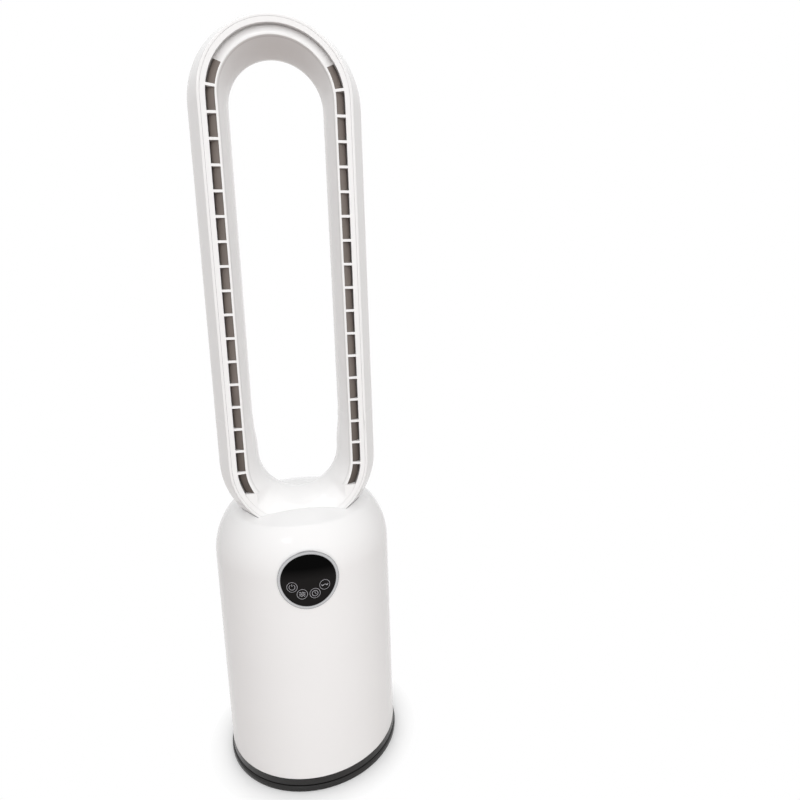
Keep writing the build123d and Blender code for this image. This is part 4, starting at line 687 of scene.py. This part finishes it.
def stroke(path, width, lift, closed=False):
    """Ribbon along a flat path: each point moves half the width to both sides, square to it."""
    if closed:
        ahead, behind = np.roll(path, -1, axis=0), np.roll(path, 1, axis=0)
    else:
        ahead = np.concatenate([path[1:], path[-1:]])
        behind = np.concatenate([path[:1], path[:-1]])
    along = ahead - behind
    along /= np.linalg.norm(along, axis=1, keepdims=True)
    side = np.stack([-along[:, 1], along[:, 0]], axis=-1) * width / 2
    edges = np.stack([path + side, path - side], axis=1)
    return onto_window(edges[..., 0], edges[..., 1], lift), closed


def arc(centre, radius, start, end, count=49):
    """Points of an arc: the centre plus the radius times the cosine and sine of an angle that
    goes evenly from start to end, in degrees."""
    angle = np.radians(np.linspace(start, end, count))
    return np.asarray(centre) + radius * np.stack([np.cos(angle), np.sin(angle)], axis=-1)


def full_ring(centre, radius, count=64):
    """Points once round a circle, without the last point on the first."""
    return arc(centre, radius, 0.0, 360.0 * (count - 1) / count, count)


def line(start, end, count=6):
    """Points from a start to an end, evenly spaced."""
    share = np.linspace(0.0, 1.0, count)[:, None]
    return np.asarray(start) * (1 - share) + np.asarray(end) * share


def power_sign(size):
    """Open ring with an upright bar in its gap."""
    return [arc((0.0, 0.0), size, 125.0, 415.0), line((0.0, size * 0.25), (0.0, size * 1.15))]


def breeze_sign(size):
    """Three level waves: the height is a sine of the distance across."""
    across = np.linspace(-size, size, 33)
    wave = 0.22 * size * np.sin(across / size * 2 * math.pi)
    return [np.stack([across, wave + row * 0.62 * size], axis=-1) for row in (-1, 0, 1)]


def timer_sign(size):
    """Clock face with two hands."""
    return [arc((0.0, 0.0), size, 0.0, 360.0), line((0.0, 0.0), (0.0, size * 0.62)),
            line((0.0, 0.0), (size * 0.45, -size * 0.2))]


def swing_sign(size):
    """Arc with an arrow head at both ends."""
    low = -0.35 * size
    heads = [line((side * size, low), (side * size * 1.1, low + size * 0.62)) for side in (-1, 1)]
    barbs = [line((side * size, low), (side * size * 0.42, low + size * 0.12)) for side in (-1, 1)]
    reach = math.hypot(size, 0.9 * size)
    lift = math.degrees(math.atan2(0.9, 1.0))
    return [arc((0.0, low - 0.9 * size), reach, lift, 180.0 - lift), *heads, *barbs]


SIGNS = (power_sign, breeze_sign, timer_sign, swing_sign)
SIGN_SHARE = 0.56           # size of a sign, as a share of the ring round it


def key_places(finish):
    """Centres of the touch keys, spread evenly about straight down from the display's centre."""
    steps = np.arange(len(SIGNS)) - (len(SIGNS) - 1) / 2
    angle = -math.pi / 2 + finish.key_tilt + steps * finish.key_step
    return np.stack([finish.key_circle * np.cos(angle),
                     finish.key_rise + finish.key_circle * np.sin(angle)], axis=-1)


# ---------------------------------------------------------------- operators


class FAN_OT_finish_shells(bpy.types.Operator):
    """Finish the white shells, the frame and the intake cover"""

    bl_idname = "fan.finish_shells"
    bl_label = "Finish white shells"

    def execute(self, context):
        groups, finish = groups_in_use(), context.scene.fan_shell
        white = white_plastic("White gloss plastic", groups, finish)
        finish_nodes(white, "front_shell", "rear_shell", "loop_shell", "intake_cover")
        finish_nodes(frame_plastic(groups, finish), "loop_frame")
        return {"FINISHED"}


class FAN_OT_finish_foot(bpy.types.Operator):
    """Finish the two dark tiers of the foot"""

    bl_idname = "fan.finish_foot"
    bl_label = "Finish foot"

    def execute(self, context):
        finish = context.scene.fan_foot
        dark = moulded_material("Dark foot plastic", groups_in_use(), finish.colour, finish.shade,
                                (finish.gloss_low, finish.gloss_high), 0.00002, 600.0,
                                sheen=finish.sheen)
        finish_nodes(dark, "foot_shell", "turntable")
        return {"FINISHED"}


class FAN_OT_shape_guides(bpy.types.Operator):
    """Shape the dark guides behind the vents, which close the slot from edge to edge"""

    bl_idname = "fan.shape_guides"
    bl_label = "Shape slot guides"

    def execute(self, context):
        finish = context.scene.fan_slot
        material = guide_plastic(groups_in_use(), finish)
        for name, side in (("left", -1), ("right", 1)):
            node = f"slot_guide_{name}"
            finish_nodes(material, node)
            guide = surface_object(f"vent_guide_{name}", guide_patches(finish, side), material)
            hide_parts(node)
        return {"FINISHED"}


class FAN_OT_finish_display(bpy.types.Operator):
    """Finish the silver ring and the black window"""

    bl_idname = "fan.finish_display"
    bl_label = "Finish display"

    def execute(self, context):
        finish = context.scene.fan_display
        centre, _ = display_place()
        inner, outer = ((high.x - low.x) / 2
                        for low, high in map(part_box, ("display_glass", "display_bezel")))
        ring = turned_silver(groups_in_use(), finish, centre, inner, outer)
        finish_nodes(ring, "display_bezel")
        finish_nodes(black_window(groups_in_use(), finish, centre[2]), "display_glass")
        return {"FINISHED"}


class FAN_OT_print_keys(bpy.types.Operator):
    """Print the rings and the signs of the touch keys on the window"""

    bl_idname = "fan.print_keys"
    bl_label = "Print touch keys"

    def execute(self, context):
        finish = context.scene.fan_display
        ink = screen_print(groups_in_use(), finish)
        for number, (sign, centre) in enumerate(zip(SIGNS, key_places(finish)), start=1):
            ring = stroke(full_ring(centre, finish.key_radius), finish.line_width,
                          finish.print_lift, True)
            surface_object(f"key_ring_{number}", [ring], ink)
            patches = [stroke(path + centre, finish.stroke_width, finish.print_lift)
                       for path in sign(SIGN_SHARE * finish.key_radius)]
            surface_object(f"key_sign_{number}", patches, ink)
        return {"FINISHED"}


class FAN_OT_finish_rubber(bpy.types.Operator):
    """Finish the feet, the isolators and the gasket"""

    bl_idname = "fan.finish_rubber"
    bl_label = "Finish rubber"

    def execute(self, context):
        finish_mouldings("Black rubber", "rubber_feet", "rubber_isolators", "neck_gasket")
        return {"FINISHED"}


class FAN_OT_finish_metal(bpy.types.Operator):
    """Finish the screws, shafts, plates and the motor's iron"""

    bl_idname = "fan.finish_metal"
    bl_label = "Finish metal"

    def execute(self, context):
        finish_nodes(drawn_steel(groups_in_use()), "ballast_plate", "pivot_screw", "pivot_washer",
                     "foot_screws", "column_screws", "housing_screws", "neck_screws",
                     "shell_screws", "swing_motor_screws", "motor_shaft", "pinion_shaft",
                     "motor_bearings", "inlet_pins", "motor_can", "swing_motor", "board_bracket")
        finish_nodes(laminated_iron(), "motor_stator", "motor_rotor")
        return {"FINISHED"}


class FAN_OT_finish_polymers(bpy.types.Operator):
    """Finish the gears, the bearing ring, the blower and the power inlet"""

    bl_idname = "fan.finish_polymers"
    bl_label = "Finish polymers"

    def execute(self, context):
        finish_mouldings("Gear polymer", "thrust_ring", "ring_gear", "swing_pinion")
        finish_mouldings("Grey polymer", "deck_columns", "blower_deck", "bellmouth",
                         "blower_housing", "diffuser", "pod_cap", "outlet_duct", "impeller")
        finish_mouldings("Black polymer", "power_inlet", "board_parts")
        return {"FINISHED"}


class FAN_OT_finish_boards(bpy.types.Operator):
    """Finish the circuit boards and the dust filter"""

    bl_idname = "fan.finish_boards"
    bl_label = "Finish boards and filter"

    def execute(self, context):
        finish_nodes(circuit_board(), "main_board", "key_board")
        finish_nodes(filter_mesh(groups_in_use()), "dust_filter")
        return {"FINISHED"}


# ---------------------------------------------------------------- studio


def seen_rays(tree):
    """1 for rays of the camera, of gloss and through glass, and 0 for light on the fan."""
    path = add_node(tree, "ShaderNodeLightPath")
    seen = math_node(tree, "MAXIMUM", path.outputs["Is Camera Ray"], path.outputs["Is Glossy Ray"])
    return math_node(tree, "MAXIMUM", seen, path.outputs["Is Transmission Ray"])


def floor_material(studio):
    """Pale floor that fades to white away from the fan's shadow, and throws less light back."""
    material, tree, shader = new_material("Studio floor")
    output = tree.nodes["Material Output"]
    place = place_coordinates(tree)
    seen = seen_rays(tree)
    pale = mix_colours(tree, noise(tree, place, 3.0, 2.0), studio.floor_colour, studio.floor_shade)
    colour = add_node(tree, "ShaderNodeMix", data_type="RGBA")
    tree.links.new(seen, colour.inputs["Factor"])
    colour.inputs[6].default_value = (*studio.floor_bounce, 1.0)
    tree.links.new(pale, colour.inputs[7])
    tree.links.new(colour.outputs[2], shader.inputs["Base Color"])
    shader.inputs["Roughness"].default_value = 0.6
    distance = add_node(tree, "ShaderNodeVectorMath", operation="LENGTH")
    tree.links.new(place, distance.inputs[0])
    fade = spread(tree, distance.outputs["Value"], studio.shadow_start, studio.shadow_radius)
    glow = add_node(tree, "ShaderNodeEmission")
    mix = add_node(tree, "ShaderNodeMixShader")
    tree.links.new(math_node(tree, "MULTIPLY", seen, fade), mix.inputs["Fac"])
    tree.links.new(shader.outputs["BSDF"], mix.inputs[1])
    tree.links.new(glow.outputs["Emission"], mix.inputs[2])
    tree.links.new(mix.outputs["Shader"], output.inputs["Surface"])
    return material


def light_room(studio):
    """White room for the camera. What falls on the fan is an even light and a broad glow from
    the room's bright side, which goes with the cube of the cosine of the angle to that side."""
    world = bpy.data.worlds.new("Studio room")
    bpy.context.scene.world = world
    world.use_nodes = True
    tree = world.node_tree
    tree.nodes.clear()
    output = add_node(tree, "ShaderNodeOutputWorld")
    room = add_node(tree, "ShaderNodeBackground")
    room.inputs["Color"].default_value = (1.0, 1.0, 1.0, 1.0)
    towards = add_node(tree, "ShaderNodeVectorMath", operation="DOT_PRODUCT")
    tree.links.new(add_node(tree, "ShaderNodeTexCoord").outputs["Generated"], towards.inputs[0])
    towards.inputs[1].default_value = studio.room_aim.normalized()
    lobe = math_node(tree, "POWER", math_node(tree, "MAXIMUM", towards.outputs["Value"], 0.0), 3.0)
    key = math_node(tree, "MULTIPLY", lobe, studio.room_key)
    soft = math_node(tree, "ADD", key, studio.room_light)
    seen = seen_rays(tree)
    unseen = math_node(tree, "SUBTRACT", 1.0, seen)
    strength = math_node(tree, "ADD", math_node(tree, "MULTIPLY", soft, unseen), seen)
    tree.links.new(strength, room.inputs["Strength"])
    tree.links.new(room.outputs["Background"], output.inputs["Surface"])


def add_lamp(name, power, size, place, target, seen):
    """A flat lamp that faces a target, and that reflections show or don't."""
    lamp = bpy.data.lights.new(name, "AREA")
    lamp.energy = power
    lamp.shape = "RECTANGLE"
    lamp.size, lamp.size_y = size
    holder = bpy.data.objects.new(name, lamp)
    holder.location = place
    aim = Vector(target) - Vector(place)
    holder.rotation_euler = aim.to_track_quat("-Z", "Y").to_euler()
    holder.visible_camera = holder.visible_glossy = seen
    bpy.context.scene.collection.objects.link(holder)


def add_camera(studio):
    """Camera at the place, heading, pitch and roll of the photograph."""
    lens = bpy.data.cameras.new("Camera")
    lens.lens = studio.camera_lens
    camera = bpy.data.objects.new("Camera", lens)
    turn = (Matrix.Rotation(-studio.camera_heading, 4, "Z")
            @ Matrix.Rotation(math.pi / 2 - studio.camera_pitch, 4, "X")
            @ Matrix.Rotation(-studio.camera_roll, 4, "Z"))
    camera.matrix_world = Matrix.Translation(studio.camera_place) @ turn
    bpy.context.scene.collection.objects.link(camera)
    bpy.context.scene.camera = camera


class FAN_OT_build_studio(bpy.types.Operator):
    """Add the floor, the lamps, the room and the camera"""

    bl_idname = "fan.build_studio"
    bl_label = "Build studio"

    def execute(self, context):
        studio = context.scene.fan_studio
        ring = full_ring((0.0, 0.0), studio.floor_radius, 96)
        rim = np.column_stack([ring, np.zeros(len(ring))])
        mesh = bpy.data.meshes.new("studio_floor")
        mesh.from_pydata(rim.tolist(), [], [list(range(len(rim)))])
        mesh.materials.append(floor_material(studio))
        floor = bpy.data.objects.new("studio_floor", mesh)
        context.scene.collection.objects.link(floor)
        light_room(studio)
        for name, (power, *rest) in LAMPS.items():
            add_lamp(name, getattr(studio, power), *rest)
        add_camera(studio)
        context.scene.view_settings.view_transform = "Standard"
        return {"FINISHED"}


PIECES = (FAN_OT_finish_shells, FAN_OT_finish_foot, FAN_OT_shape_guides, FAN_OT_finish_display,
          FAN_OT_print_keys, FAN_OT_finish_rubber, FAN_OT_finish_metal, FAN_OT_finish_polymers,
          FAN_OT_finish_boards, FAN_OT_build_studio)
SETTINGS = {"fan_shell": ShellFinish, "fan_foot": FootFinish, "fan_slot": SlotFinish,
            "fan_display": DisplayFinish, "fan_studio": StudioSettings}


class FAN_PT_panel(bpy.types.Panel):
    """Lists the fan's operators and settings in the sidebar"""

    bl_label = "Bladeless fan"
    bl_idname = "FAN_PT_panel"
    bl_space_type = "VIEW_3D"
    bl_region_type = "UI"
    bl_category = "Fan"

    def draw(self, context):
        for operator in PIECES:
            self.layout.operator(operator.bl_idname)
        for name, group in SETTINGS.items():
            box = self.layout.box()
            for setting in group.__annotations__:
                box.prop(getattr(context.scene, name), setting)


def register():
    """Add the settings, operators and panel to Blender."""
    for name, group in SETTINGS.items():
        bpy.utils.register_class(group)
        setattr(bpy.types.Scene, name, PointerProperty(type=group))
    for item in (*PIECES, FAN_PT_panel):
        bpy.utils.register_class(item)


def unregister():
    """Take the settings, operators and panel out of Blender."""
    for item in (FAN_PT_panel, *reversed(PIECES)):
        bpy.utils.unregister_class(item)
    for name, group in SETTINGS.items():
        delattr(bpy.types.Scene, name)
        bpy.utils.unregister_class(group)


def main():
    """Dress the fan and build its studio."""
    register()
    for operator in PIECES:
        family, action = operator.bl_idname.split(".")
        getattr(getattr(bpy.ops, family), action)()


if __name__ == "__main__":
    main()
